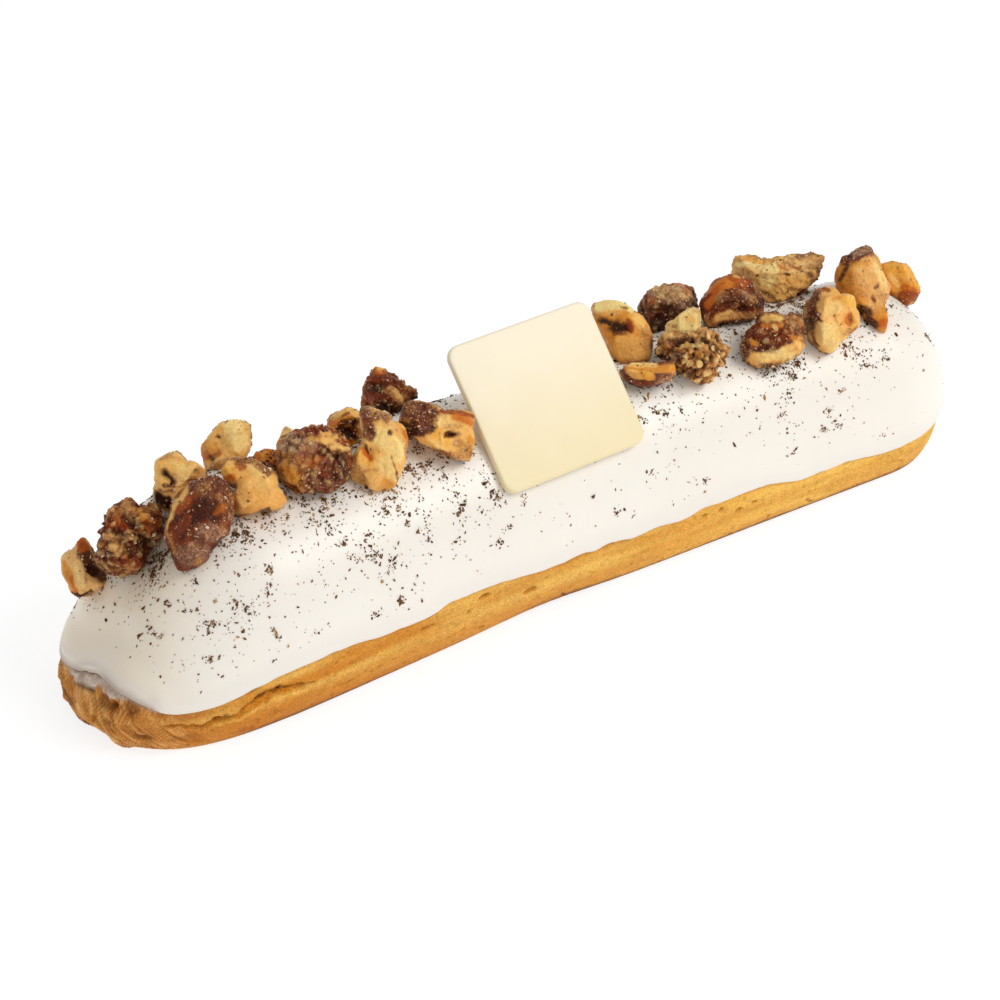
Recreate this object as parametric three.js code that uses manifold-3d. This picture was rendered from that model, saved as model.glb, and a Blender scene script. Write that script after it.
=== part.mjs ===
// An iced eclair: a baked choux bun under a skin of white icing, with chopped caramelised nuts
// in two groups along its ridge and a plain white chocolate plaque between them.
// Millimetres, +Z up, +X along the bun from its broad end to its slim end, the origin under
// the middle of the bun.

import * as THREE from "three";
import { ParametricGeometry } from "three/addons/geometries/ParametricGeometry.js";
import { mergeVertices } from "three/addons/utils/BufferGeometryUtils.js";
import Module from "manifold-3d";

const wasm = await Module();
wasm.setup();

// Bun: one section carried round a straight spine that ends short of either tip
const bunLength = 145;
const reach = { broad: 25.4, slim: 15.8 }; // from the spine to either tip, the broad one at -X
const halfWidth = 14.65;
const broadSwell = 2.75; // the broad end is this much wider on each side
const broadSwellAt = -58;
const broadSwellSpan = 34;
const ridgeHeight = 28;
const slimDrop = { by: 1.5, from: -30, span: 88 }; // the ridge falls towards the slim end
const undercut = 3; // the base is this much narrower than the waist on each side
const hollow = { by: 1.2, at: -6, span: 10 }; // and by more at the middle of the front
// Exponents of the ends' outlines seen from above; the broad end is fuller at the front
const endRoundness = { broad: { front: 2.7, back: 2.3 }, slim: { front: 2.15, back: 2.15 } };

// Height of the waist, the widest line, and exponent of the crown above it
const waist = { side: 8.8, broad: 2.7, slim: 9.3 };
const crown = { side: 2.05, broad: 1.37, slim: 1.85 };

// Icing: a skin over the bun, with a rounded lip along its wavy lower edge
const icingThickness = 1.6;
// Places along the bun and height of the lower edge there, with smooth steps between
const icingEdge = [
  [-72.5, 9.8], [-62.8, 7.5], [-47, 9.8], [-40.5, 9.85], [-33, 9.2], [-27.3, 9], [-23.6, 9.8],
  [-17.5, 9.8], [-5.5, 8.85], [-1.6, 9.1], [0.6, 8.8], [2.8, 9.05], [7, 8.5], [11.5, 8.8],
  [15.3, 8.3], [20, 9], [30, 8.95], [37.5, 7.55], [45.5, 7.7], [55, 6.75], [66, 7.5], [72.5, 7.6],
];
const icingTip = { drop: 4, from: -8, span: 16 }; // lower round the broad tip, from front to back
const lipDrop = 0.4;
const gap = 0.35; // between neighbouring solids
const chouxInset = 0.3; // the bare choux stands back under the lip

// Choux relief: lengthwise ridges, a burst seam at the front and crags on the broad end
const ridges = { depth: 0.22, span: 3.1, drift: 9 };
const burst = { from: -59, to: -44, height: 4.6, slope: 0.11, width: 1.1, depth: 0.9, fade: 4 };
const crags = { depth: 0.4, counts: [15, 23] };
const reliefFrom = 2; // height over which the relief sets in above the base

// Plaque
const plaqueWidth = 23.4;
const plaqueHeight = 21.5;
const plaqueThickness = 1.1;
const plaqueCorner = 1.9;
const plaqueBevel = 0.25;
const plaqueAlong = -1.6;
const plaqueLean = 47.5; // degrees from level
const plaqueRoll = 2.2; // degrees in its own plane
const plaqueOverhang = 7.5; // of its middle past the line where it touches the icing

// Chopped nuts, seen from the front left: the place of the middle, half depth along the sight,
// knobbliness, cut faces as tilts right and up with their distance from the middle, and the
// outline as radii every 22.5 degrees, anticlockwise from the right
const sight = { turn: -123, rise: 33 }; // towards the viewer
const nuts = [
  {
    middle: [-65.9, 6.5, 18],
    depth: 3.3,
    faces: [[-0.5, 0.1, 2.2], [0.9, 0.3, 2.4]],
    outline: [3, 2.6, 2.5, 2.8, 4.4, 3.1, 3.3, 3.2, 2.8, 2.6, 2.6, 3.4, 3.5, 3.1, 3.2, 3.4],
  },
  {
    middle: [-61.2, 1.9, 24.1],
    depth: 4.6,
    knobs: 0.28,
    faces: [],
    outline: [3.9, 4.6, 5.5, 3.9, 4.7, 4.3, 4, 3.3, 3.3, 3.9, 4.9, 5, 4.9, 4.1, 2.8, 2.6],
  },
  {
    middle: [-53.2, 3.4, 28.9],
    depth: 3.8,
    faces: [[0, 0.5, 2.8], [-0.9, 0, 2.8]],
    outline: [3.4, 4, 3.6, 3, 3.8, 3.8, 3.8, 2.8, 2.6, 3.1, 4.2, 4.2, 3.6, 3, 2.8, 3],
  },
  {
    middle: [-54.6, -5.9, 28.6],
    depth: 3.8,
    faces: [[-1.1, 0.1, 3.2], [0.3, -0.5, 3.4]],
    outline: [4, 4.7, 6.1, 5.9, 5.1, 4.5, 4.2, 3.8, 4.2, 4.6, 5, 6.8, 5.7, 4.1, 3.5, 3.9],
  },
  {
    middle: [-43.5, 8.3, 28.4],
    depth: 3.1,
    faces: [[-0.1, 0.1, 2.2], [1, 0.2, 2.6]],
    outline: [3.1, 3.3, 4.2, 3.9, 3.6, 3, 2.7, 2.8, 3.3, 3.4, 4, 4.3, 4.1, 3.6, 2.9, 2.9],
  },
  {
    middle: [-46.3, -4.7, 30.1],
    depth: 4.2,
    faces: [[0.1, 0, 2.9], [0, 1, 3]],
    outline: [3.1, 3.1, 3.1, 3, 3.3, 4.1, 4.5, 4.4, 2.3, 2.6, 3.4, 4.4, 3.2, 3, 4.2, 4.8],
  },
  {
    middle: [-40.8, 1.5, 29],
    depth: 1.8,
    faces: [[0, 0.3, 1.2]],
    outline: [1.7, 1.5, 1.5, 1.3, 1.4, 1.5, 1.5, 2, 1.8, 1.5, 1.3, 1.3, 1.3, 1.6, 1.7, 1.7],
  },
  {
    middle: [-37.2, -4.6, 30.9],
    depth: 4.7,
    knobs: 0.22,
    faces: [],
    outline: [4.7, 4.8, 4.2, 4.5, 4.2, 4.2, 4.4, 4.4, 4.6, 5, 4.8, 4.4, 3.5, 4.3, 4.4, 4.9],
  },
  {
    middle: [-28.5, 2.3, 29.5],
    depth: 2.9,
    faces: [[0.2, 0, 2]],
    outline: [2.2, 2.3, 2.6, 2.6, 2.6, 2.3, 2.4, 2.8, 3, 2.2, 1.9, 2, 3, 2.9, 2.7, 2.3],
  },
  {
    middle: [-28.4, -6.1, 30],
    depth: 3.8,
    faces: [[0.1, -0.1, 2.6], [-0.5, 0.8, 4.2]],
    outline: [3.5, 3.9, 4.5, 4.5, 5.5, 6.2, 3.1, 2.7, 3.2, 4, 5.2, 4.8, 5.3, 4.9, 3.9, 3.6],
  },
  {
    middle: [-17.7, 10.4, 27.3],
    depth: 4,
    knobs: 0.16,
    faces: [[-0.6, 0.3, 3.2], [0.6, 0.5, 2.8]],
    outline: [4.2, 2.8, 2.4, 2.5, 2.9, 3.8, 3.3, 3.1, 3.2, 3.6, 3.5, 3.7, 4, 4.2, 3.2, 3.3],
  },
  {
    middle: [-18.9, -5.5, 30.1],
    depth: 4.2,
    faces: [[0.3, -0.2, 2.7], [0, 1, 3]],
    outline: [4.3, 5, 3.2, 2.5, 2.7, 3.4, 5.3, 5.4, 5, 3.4, 2.8, 2.6, 3, 4, 5.8, 5.1],
  },
  {
    middle: [16.6, 2.1, 30.3],
    depth: 4.6,
    faces: [[0.2, -0.2, 3.2], [-0.3, 0.8, 3.7]],
    outline: [3.8, 3.5, 3.6, 3.5, 4.2, 4.9, 6.2, 4.5, 3.4, 3, 3.1, 3.7, 4.8, 5.4, 5.1, 4.3],
  },
  {
    middle: [30, 9.3, 26.9],
    depth: 4.4,
    knobs: 0.16,
    faces: [],
    outline: [4.2, 4.2, 4.6, 4, 3.5, 3.5, 3.8, 4.1, 4.4, 3.9, 4.3, 4.9, 4.5, 4.4, 4.1, 4.1],
  },
  {
    middle: [26.8, 1.2, 29],
    depth: 2.8,
    faces: [[0, 0.2, 2], [-0.8, 0.2, 2.2]],
    outline: [2.1, 2.4, 3, 2.6, 2.1, 1.8, 1.7, 1.8, 2.9, 2.9, 2.3, 2.2, 2.2, 2.2, 2, 2.2],
  },
  {
    middle: [22.8, -6.1, 29.1],
    depth: 3.8,
    knobs: 0.34,
    faces: [],
    outline: [4.8, 4.2, 3.8, 3.3, 2.5, 2.3, 3.7, 5.6, 5.2, 2.8, 2.7, 2.8, 3.2, 4.6, 4, 3.9],
  },
  {
    middle: [14.9, -6.4, 28.4],
    depth: 2.8,
    faces: [[0, 1.4, 1.45]],
    outline: [3.9, 4.2, 2.2, 1.6, 1.5, 1.6, 2.1, 3.1, 4.5, 3.1, 2.4, 2.1, 2, 1.9, 2.1, 2.7],
  },
  {
    middle: [35.7, 2, 29.8],
    depth: 4.4,
    faces: [[0.1, -0.6, 3.2]],
    outline: [4.8, 3.7, 4.1, 4, 4, 3.9, 3.8, 3.6, 4.4, 4.5, 5.1, 3.5, 3.1, 3.2, 3.8, 4.8],
  },
  {
    middle: [47.7, 6, 29.1],
    depth: 4.5,
    faces: [[0, 1.2, 2.3], [0, -0.4, 3.4]],
    outline: [5.8, 7.4, 4.3, 3.2, 2.8, 2.8, 3.5, 7.2, 6.8, 4.5, 4.7, 4.7, 4.4, 3.9, 4.1, 4.7],
  },
  {
    middle: [35.7, -7.9, 28],
    depth: 4.2,
    knobs: 0.14,
    faces: [[0.2, -0.7, 3]],
    outline: [4.4, 4.6, 5, 3.7, 3.8, 4.1, 3.3, 3.6, 4.3, 4.9, 4.9, 4, 3.5, 3.5, 3.6, 4.1],
  },
  {
    middle: [46.5, -7.7, 28.3],
    depth: 4.1,
    faces: [[0.1, 0, 2.6], [-1, 0.2, 3]],
    outline: [4.3, 3.9, 4.6, 3.8, 4.7, 4.7, 3.9, 4.2, 3.6, 3.6, 4.2, 4.7, 5, 3.6, 3.5, 4],
  },
  {
    middle: [56.2, -3.8, 29.2],
    depth: 4.3,
    faces: [[0.1, -0.1, 2.8], [-0.2, 1.2, 4.6]],
    outline: [3.8, 3.2, 3.3, 4.8, 5.8, 5, 5.1, 4.6, 4.2, 3.3, 3, 3.3, 5.5, 7.6, 4.1, 3.9],
  },
  {
    middle: [67.8, 1.4, 23.9],
    depth: 3.5,
    faces: [[-0.2, 0.2, 2.6]],
    outline: [2.8, 2.7, 2.8, 3.2, 3.2, 3.7, 4.2, 3.3, 2.7, 2.9, 3.3, 3.4, 3.4, 3.7, 3.8, 3.6],
  },
  {
    middle: [-35.7, 4.5, 28.6],
    depth: 2,
    faces: [[0, 0.3, 1.5]],
    outline: [2.1, 3.5, 1.9, 1.5, 1.6, 2.1, 1.9, 1.8, 2, 2.2, 2.4, 2.2, 1.8, 1.5, 1.4, 1.6],
  },
];
const nutFullness = 0.8; // exponent of the ball that the outlines shape; 1 would be an ellipsoid
const chips = { count: 6, tilt: 0.9, share: 0.88, turn: 0.65 }; // planes round the front shoulder
const knobCount = 16;
const knobSharpness = 9;
const partingReach = 1.4; // of the two mean radii, within which neighbours are parted

// Larger flakes of the dark dusting, held in the icing
const flakes = {
  count: 24,
  seed: 11,
  least: 0.55,
  most: 1.05,
  width: 0.7,
  flatness: 0.6,
  sink: 0.25,
  clearance: 1,
  front: -0.85, // share of the half width
  back: 0.35,
};

// Mesh fineness
const segmentsRound = 120;
const flankRows = 7;
const crownRows = 4;
const icingRows = 8;
const nutRows = 6;
const sideShare = 0.275; // of the segments, to each long side
const slimShare = 0.175;
const broadShare = 1 - 2 * sideShare - slimShare;
const quarter = Math.PI / 2;
const spineLeft = reach.broad - bunLength / 2;
const spineRight = bunLength / 2 - reach.slim;
const cutterSize = 60;

function radians(degrees) {
  return (degrees * Math.PI) / 180;
}

function smoothStep(value) {
  const held = Math.min(1, Math.max(0, value));
  return held * held * (3 - 2 * held);
}

function hump(value) {
  return Math.exp(-value * value);
}

function signedPower(value, power) {
  return Math.sign(value) * Math.abs(value) ** power;
}

// A direction from its turn round +Z, from +X, and its rise above level
function direction(turn, rise) {
  const flat = Math.cos(radians(rise));
  return new THREE.Vector3(
    flat * Math.cos(radians(turn)),
    flat * Math.sin(radians(turn)),
    Math.sin(radians(rise)),
  );
}

function halfWidthAt(x) {
  return halfWidth + broadSwell * hump((x - broadSwellAt) / broadSwellSpan);
}

function ridgeAt(x) {
  return ridgeHeight - slimDrop.by * Math.max(0, (x - slimDrop.from) / slimDrop.span) ** 2;
}

// A value that differs between the long sides, the broad tip and the slim tip
function blend(values, broad, slim) {
  return values.side + (values.broad - values.side) * broad + (values.slim - values.side) * slim;
}

// Where a share of the way round the bun lies, from the broad end of the front: the point of the
// spine, the section's reach along and across, and how much it belongs to either tip
function wayRound(share) {
  let turn = share - Math.floor(share);
  if (turn < sideShare) return sideAt(turn / sideShare, -1);
  turn -= sideShare;
  if (turn < slimShare) return endAt(turn / slimShare - 0.5, "slim");
  turn -= slimShare;
  if (turn < sideShare) return sideAt(1 - turn / sideShare, 1);
  return endAt(0.5 - (turn - sideShare) / broadShare, "broad");
}

function sideAt(share, side) {
  const spine = spineLeft + (spineRight - spineLeft) * share;
  return { spine, along: 0, across: side * halfWidthAt(spine), broad: 0, slim: 0 };
}

function roundnessAt(end, aside) {
  return aside < 0 ? endRoundness[end].front : endRoundness[end].back;
}

// An end's outline is a rounded box: the half turn from front to back is -0.5 to 0.5
function endAt(halfTurn, end) {
  const angle = halfTurn * Math.PI;
  const ahead = Math.max(0, Math.cos(angle));
  const aside = Math.sin(angle);
  const power = roundnessAt(end, aside);
  const rim = (ahead ** power + Math.abs(aside) ** power) ** (-1 / power);
  const spine = end === "slim" ? spineRight : spineLeft;
  return {
    spine,
    along: (end === "slim" ? 1 : -1) * reach[end] * rim * ahead,
    across: halfWidthAt(spine) * rim * aside,
    broad: end === "broad" ? ahead ** 2 : 0,
    slim: end === "slim" ? ahead ** 2 : 0,
  };
}

// A point of the section: level -1 is the edge of the base, 0 the waist and 1 the ridge. The
// depth moves it in from the skin of the iced bun.
function sectionPoint(way, level, depth, target) {
  const waistHere = blend(waist, way.broad, way.slim);
  const roundness = 2 / blend(crown, way.broad, way.slim);
  const span = Math.hypot(way.along, way.across);
  const angle = (level < 0 ? level + 1 : level) * quarter;
  let share = Math.max(0, Math.cos(angle)) ** roundness;
  let height = waistHere + (ridgeAt(way.spine) - depth - waistHere) * Math.sin(angle) ** roundness;
  if (level < 0) {
    const drawnIn = undercut + (way.across < 0 ? hollow.by * hump((way.spine - hollow.at) / hollow.span) : 0);
    share = 1 - (drawnIn / span) * (1 - Math.sin(angle));
    height = waistHere * (1 - Math.cos(angle));
  }
  const scale = share * (1 - depth / span);
  return target.set(way.spine + way.along * scale, way.across * scale, height);
}

// The level of the section that lies at a height
function levelAt(way, height) {
  const waistHere = blend(waist, way.broad, way.slim);
  if (height < waistHere) return Math.acos(1 - height / waistHere) / quarter - 1;
  const climb = (height - waistHere) / (ridgeAt(way.spine) - waistHere);
  return Math.asin(climb ** (blend(crown, way.broad, way.slim) / 2)) / quarter;
}

function edgeHeight(way) {
  const x = way.spine + way.along;
  let height = icingEdge[0][1];
  for (let k = 1; k < icingEdge.length; k += 1) {
    const [from, low] = icingEdge[k - 1];
    const [to, high] = icingEdge[k];
    height += (high - low) * smoothStep((x - from) / (to - from));
  }
  return height - icingTip.drop * way.broad * smoothStep((way.across - icingTip.from) / icingTip.span);
}

// How far the bare choux is sunk at a place: ridges along it, the burst seam and the crags
function chouxRelief(way, height) {
  const x = way.spine + way.along;
  const settled = smoothStep(height / reliefFrom);
  let depth = ridges.depth * Math.sin((2 * Math.PI * height) / ridges.span + x / ridges.drift);
  if (way.across < 0) {
    const seam = burst.height + burst.slope * (x - burst.from);
    const begun = smoothStep((x - burst.from) / burst.fade);
    const ending = smoothStep((burst.to - x) / burst.fade);
    depth += burst.depth * begun * ending * hump((height - seam) / burst.width);
  }
  const round = Math.atan2(way.across, -way.along);
  for (const count of crags.counts) depth += crags.depth * way.broad * Math.sin(count * round + height);
  return depth * settled;
}

function chouxPoint(share, row, target) {
  const way = wayRound(share);
  if (row === 0) return target.set(way.spine, 0, 0);
  const ledge = edgeHeight(way) - lipDrop - gap;
  const ledgeLevel = levelAt(way, ledge);
  const flankRow = row - 1;
  if (flankRow <= flankRows) {
    const level = -1 + ((1 + ledgeLevel) * flankRow) / flankRows;
    const height = sectionPoint(way, level, 0, target).z;
    return sectionPoint(way, level, chouxInset + chouxRelief(way, height), target);
  }
  const crownRow = flankRow - flankRows - 1;
  const level = ledgeLevel + ((1 - ledgeLevel) * crownRow) / crownRows;
  return sectionPoint(way, level, icingThickness + gap, target);
}

// Rows of the icing run down its inside, round the lip and up its outside
function icingPoint(share, row, target) {
  const way = wayRound(share);
  const edge = levelAt(way, edgeHeight(way));
  if (row <= crownRows) {
    return sectionPoint(way, 1 - ((1 - edge) * row) / crownRows, icingThickness, target);
  }
  if (row === crownRows + 1) {
    sectionPoint(way, edge, icingThickness / 2, target);
    target.z -= lipDrop;
    return target;
  }
  const outerRow = row - crownRows - 2;
  return sectionPoint(way, edge + ((1 - edge) * outerRow) / icingRows, 0, target);
}

// The iced bun's skin, raised by the gap, as a solid to trim toppings with
function raisedPoint(share, row, target) {
  const way = wayRound(share);
  if (row === 0) return target.set(way.spine, 0, icingEdge[0][1]);
  const edge = levelAt(way, edgeHeight(way));
  return sectionPoint(way, edge + ((1 - edge) * (row - 1)) / icingRows, -gap, target);
}

// A closed solid from a three.js geometry, its shared vertices merged
function solidOf(geometry) {
  const bare = geometry.clone();
  bare.deleteAttribute("normal");
  bare.deleteAttribute("uv");
  const merged = mergeVertices(bare);
  const corners = merged.index.array;
  const kept = [];
  for (let i = 0; i < corners.length; i += 3) {
    const [a, b, c] = corners.slice(i, i + 3);
    if (a !== b && b !== c && c !== a) kept.push(a, b, c);
  }
  const mesh = new wasm.Mesh({
    numProp: 3,
    vertProperties: merged.attributes.position.array,
    triVerts: new Uint32Array(kept),
  });
  return new wasm.Manifold(mesh);
}

// A solid from rows of points that run right round the bun
function sweptSolid(pointAt, rows) {
  const surface = (u, v, target) => pointAt(u, Math.round(v * rows), target);
  return solidOf(new ParametricGeometry(surface, segmentsRound, rows));
}

// Height of the icing over a point of the plan
function icingHeight(x, y) {
  const spine = Math.min(spineRight, Math.max(spineLeft, x));
  const end = x < spine ? "broad" : "slim";
  const power = roundnessAt(end, y);
  const ahead = Math.abs(x - spine) / reach[end];
  const aside = Math.abs(y) / halfWidthAt(spine);
  const share = Math.min(1, (ahead ** power + aside ** power) ** (1 / power));
  const belongs = ahead > 0 ? ahead ** 2 / (ahead ** 2 + aside ** 2) : 0;
  const broad = x < spine ? belongs : 0;
  const slim = x > spine ? belongs : 0;
  const crownHere = blend(crown, broad, slim);
  const waistHere = blend(waist, broad, slim);
  const climb = (1 - share ** crownHere) ** (1 / crownHere);
  return waistHere + (ridgeAt(spine) - waistHere) * climb;
}

function icingNormal(x, y) {
  const step = 0.2;
  const alongSlope = (icingHeight(x + step, y) - icingHeight(x - step, y)) / (2 * step);
  const acrossSlope = (icingHeight(x, y + step) - icingHeight(x, y - step)) / (2 * step);
  return new THREE.Vector3(-alongSlope, -acrossSlope, 1).normalize();
}

function icingPlace(x, y) {
  return new THREE.Vector3(x, y, icingHeight(x, y));
}

// Right, up and towards the viewer, along which the nuts are measured
const towards = direction(sight.turn, sight.rise);
const rightward = new THREE.Vector3(-towards.y, towards.x, 0).normalize();
const upward = new THREE.Vector3().crossVectors(towards, rightward);

// A vector from its shares right, up and towards the viewer
function seen(right, up, near) {
  return new THREE.Vector3()
    .addScaledVector(rightward, right)
    .addScaledVector(upward, up)
    .addScaledVector(towards, near);
}

// Radius of a nut's outline at an angle from the right, straight between the given radii
function outlineRadius(nut, angle) {
  const count = nut.outline.length;
  const place = ((angle / (2 * Math.PI) + 1) % 1) * count;
  const before = Math.floor(place) % count;
  const after = (before + 1) % count;
  const share = place - Math.floor(place);
  return nut.outline[before] * (1 - share) + nut.outline[after] * share;
}

// Directions spread evenly over a ball along a spiral
function spiralDirection(index, count, start) {
  const height = 1 - (2 * (index + 0.5)) / count;
  const angle = index * Math.PI * (3 - Math.sqrt(5)) + start;
  const flat = Math.sqrt(1 - height * height);
  return new THREE.Vector3(flat * Math.cos(angle), flat * Math.sin(angle), height);
}

// Share of the full radius that a knobbly nut keeps in a direction, all of it at the outline
function knobShare(nut, way) {
  if (!nut.knobs) return 1;
  const nearest = nut.knobWays.map((knob) => Math.max(0, knob.dot(way)) ** knobSharpness);
  return 1 - nut.knobs * (1 - Math.max(...nearest)) * Math.abs(way.z);
}

// A block whose face lies at a distance from a point, square to a direction
function cutter(middle, way, distance) {
  const block = new THREE.BoxGeometry(cutterSize, cutterSize, cutterSize);
  const turn = new THREE.Quaternion().setFromUnitVectors(new THREE.Vector3(0, 0, 1), way);
  block.translate(0, 0, distance + cutterSize / 2).applyQuaternion(turn);
  block.translate(middle.x, middle.y, middle.z);
  return solidOf(block);
}

function largestBody(solid) {
  return solid.decompose().reduce((best, body) => (body.volume() > best.volume() ? body : best));
}

function placeNut(nut, index) {
  nut.centre = new THREE.Vector3(...nut.middle);
  nut.bulk = nut.outline.reduce((sum, radius) => sum + radius) / nut.outline.length;
  nut.knobWays = [];
  for (let k = 0; k < knobCount; k += 1) nut.knobWays.push(spiralDirection(k, knobCount, index));
}

// A nut's point in a direction given by its shares right, up and towards the viewer
function nutPoint(nut, way) {
  const flat = Math.hypot(way.x, way.y);
  const angle = Math.atan2(way.y, way.x);
  const share = knobShare(nut, way);
  const radius = outlineRadius(nut, angle) * flat ** nutFullness * share;
  const near = Math.sign(way.z) * nut.depth * Math.abs(way.z) ** nutFullness * share;
  return seen(radius * Math.cos(angle), radius * Math.sin(angle), near);
}

function nutSolid(nut, index, icedBun) {
  const ball = new THREE.SphereGeometry(1, nut.outline.length, nutRows);
  const points = ball.attributes.position;
  const offsets = [];
  for (let i = 0; i < points.count; i += 1) {
    const way = new THREE.Vector3(points.getZ(i), points.getX(i), points.getY(i));
    const offset = nutPoint(nut, way);
    offsets.push(offset);
    points.setXYZ(i, ...offset.clone().add(nut.centre));
  }
  let solid = solidOf(ball);
  for (const [right, up, distance] of nut.faces) {
    solid = solid.subtract(cutter(nut.centre, seen(right, up, 1).normalize(), distance));
  }
  for (let k = 0; k < chips.count && !nut.knobs; k += 1) {
    const angle = (2 * Math.PI * k) / chips.count + chips.turn * index;
    const chip = seen(chips.tilt * Math.cos(angle), chips.tilt * Math.sin(angle), 1).normalize();
    const reaches = offsets.map((offset) => offset.dot(chip));
    solid = solid.subtract(cutter(nut.centre, chip, chips.share * Math.max(...reaches)));
  }
  // Nuts that could meet are parted by a plane between them
  for (const other of nuts) {
    const across = other.centre.clone().sub(nut.centre);
    const apart = across.length();
    if (other === nut || apart > partingReach * (nut.bulk + other.bulk)) continue;
    const distance = (apart * nut.bulk) / (nut.bulk + other.bulk) - gap / 2;
    solid = solid.subtract(cutter(nut.centre, across.normalize(), distance));
  }
  return largestBody(solid.subtract(icedBun).subtract(plaqueRoom()));
}

// The plaque leans on the front of the icing, touching it where the icing slopes as it does
function plaquePlace() {
  const lean = radians(plaqueLean);
  const normal = new THREE.Vector3(0, -Math.sin(lean), Math.cos(lean));
  let across = 0;
  const step = 0.02;
  while (icingNormal(plaqueAlong, across).y > normal.y) across -= step;
  const upward = new THREE.Vector3(0, Math.cos(lean), Math.sin(lean));
  const middle = icingPlace(plaqueAlong, across);
  middle.addScaledVector(upward, plaqueOverhang).addScaledVector(normal, gap);
  return new THREE.Matrix4()
    .makeTranslation(middle)
    .multiply(new THREE.Matrix4().makeRotationX(lean))
    .multiply(new THREE.Matrix4().makeRotationZ(radians(plaqueRoll)));
}

function plaqueGeometry(grow) {
  const corner = plaqueCorner - plaqueBevel + grow;
  const halfWide = plaqueWidth / 2 - plaqueCorner;
  const halfHigh = plaqueHeight / 2 - plaqueCorner;
  const outline = new THREE.Shape();
  outline.absarc(halfWide, halfHigh, corner, 0, quarter);
  outline.absarc(-halfWide, halfHigh, corner, quarter, 2 * quarter);
  outline.absarc(-halfWide, -halfHigh, corner, 2 * quarter, 3 * quarter);
  outline.absarc(halfWide, -halfHigh, corner, 3 * quarter, 4 * quarter);
  const plate = new THREE.ExtrudeGeometry(outline, {
    depth: plaqueThickness - 2 * plaqueBevel,
    bevelThickness: plaqueBevel,
    bevelSize: plaqueBevel,
    bevelSegments: 1,
    curveSegments: 4,
  });
  return plate.translate(0, 0, plaqueBevel).applyMatrix4(plaquePlace());
}

// The plaque with a gap all round, to keep nuts clear of it
function plaqueRoom() {
  return solidOf(plaqueGeometry(gap));
}

// The same row of draws each time
function drawer(seed) {
  let state = seed;
  return () => {
    state = (state * 1103515245 + 12345) % 2147483648;
    return state / 2147483648;
  };
}

// Flakes lie over the front and the crown, clear of nuts and plaque
function flakeSolids() {
  const draw = drawer(flakes.seed);
  const solids = [];
  const plaque = new THREE.Box3().setFromBufferAttribute(plaqueGeometry(gap).attributes.position);
  while (solids.length < flakes.count) {
    const radius = flakes.least + (flakes.most - flakes.least) * draw();
    const x = spineLeft + (spineRight - spineLeft) * draw();
    const y = halfWidth * (flakes.front + (flakes.back - flakes.front) * draw());
    const middle = icingPlace(x, y);
    const turn = draw() * Math.PI;
    const room = radius + flakes.clearance;
    const near = nuts.some((nut) => nut.centre.distanceTo(middle) < nut.bulk + room);
    const under = plaque.distanceToPoint(middle) < room;
    if (near || under) continue;
    const normal = icingNormal(x, y);
    const flake = new THREE.IcosahedronGeometry(radius, 0).scale(1, flakes.width, flakes.flatness);
    flake.rotateZ(turn);
    const up = new THREE.Vector3(0, 0, 1);
    flake.applyQuaternion(new THREE.Quaternion().setFromUnitVectors(up, normal));
    middle.addScaledVector(normal, -flakes.sink * radius);
    solids.push(solidOf(flake.translate(middle.x, middle.y, middle.z)));
  }
  return solids;
}

function meshOf(name, solid, colour, roughness) {
  const made = solid.getMesh();
  const geometry = new THREE.BufferGeometry();
  geometry.setAttribute("position", new THREE.BufferAttribute(made.vertProperties, 3));
  geometry.setIndex(new THREE.BufferAttribute(made.triVerts, 1));
  geometry.computeVertexNormals();
  const material = new THREE.MeshStandardMaterial({ color: colour, roughness, metalness: 0 });
  const mesh = new THREE.Mesh(geometry, material);
  mesh.name = name;
  return mesh;
}

nuts.forEach(placeNut);

const eclair = new THREE.Group();
eclair.name = "eclair";

eclair.add(meshOf("choux", sweptSolid(chouxPoint, flankRows + crownRows + 2), 0xdc9a44, 0.7));

let icing = sweptSolid(icingPoint, icingRows + crownRows + 2);
for (const flake of flakeSolids()) icing = icing.add(flake);
eclair.add(meshOf("icing", icing, 0xf3ede4, 0.35));

eclair.add(meshOf("plaque", solidOf(plaqueGeometry(0)), 0xf6edcf, 0.4));

const icedBun = sweptSolid(raisedPoint, icingRows + 1);
nuts.forEach((nut, index) => {
  const name = `nut_${String(index + 1).padStart(2, "0")}`;
  const colour = nut.knobs ? 0x6b3c22 : 0xd9b076;
  eclair.add(meshOf(name, nutSolid(nut, index, icedBun), colour, 0.55));
});

export default eclair;
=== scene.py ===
import math
import bmesh
import bpy
import numpy as np
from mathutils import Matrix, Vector


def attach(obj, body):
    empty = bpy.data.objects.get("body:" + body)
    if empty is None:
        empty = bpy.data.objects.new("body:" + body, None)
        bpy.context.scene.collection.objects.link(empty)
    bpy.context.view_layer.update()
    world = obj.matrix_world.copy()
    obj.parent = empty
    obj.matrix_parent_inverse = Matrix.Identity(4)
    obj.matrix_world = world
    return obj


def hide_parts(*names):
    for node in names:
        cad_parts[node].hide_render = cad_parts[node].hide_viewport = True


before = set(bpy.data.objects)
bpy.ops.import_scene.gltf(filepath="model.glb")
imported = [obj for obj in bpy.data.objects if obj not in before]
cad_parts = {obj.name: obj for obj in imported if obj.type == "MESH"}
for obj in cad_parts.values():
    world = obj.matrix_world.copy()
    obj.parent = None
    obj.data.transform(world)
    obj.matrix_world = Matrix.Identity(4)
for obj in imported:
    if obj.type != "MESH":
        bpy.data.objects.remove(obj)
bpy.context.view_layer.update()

toMetres = 0.001  # shapes are worked out in millimetres, in the part's own frame
mergeWithin, dissolveWithin = 1e-7, 1e-8  # metres
print("frame loaded,", len(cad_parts), "nodes")

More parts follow.
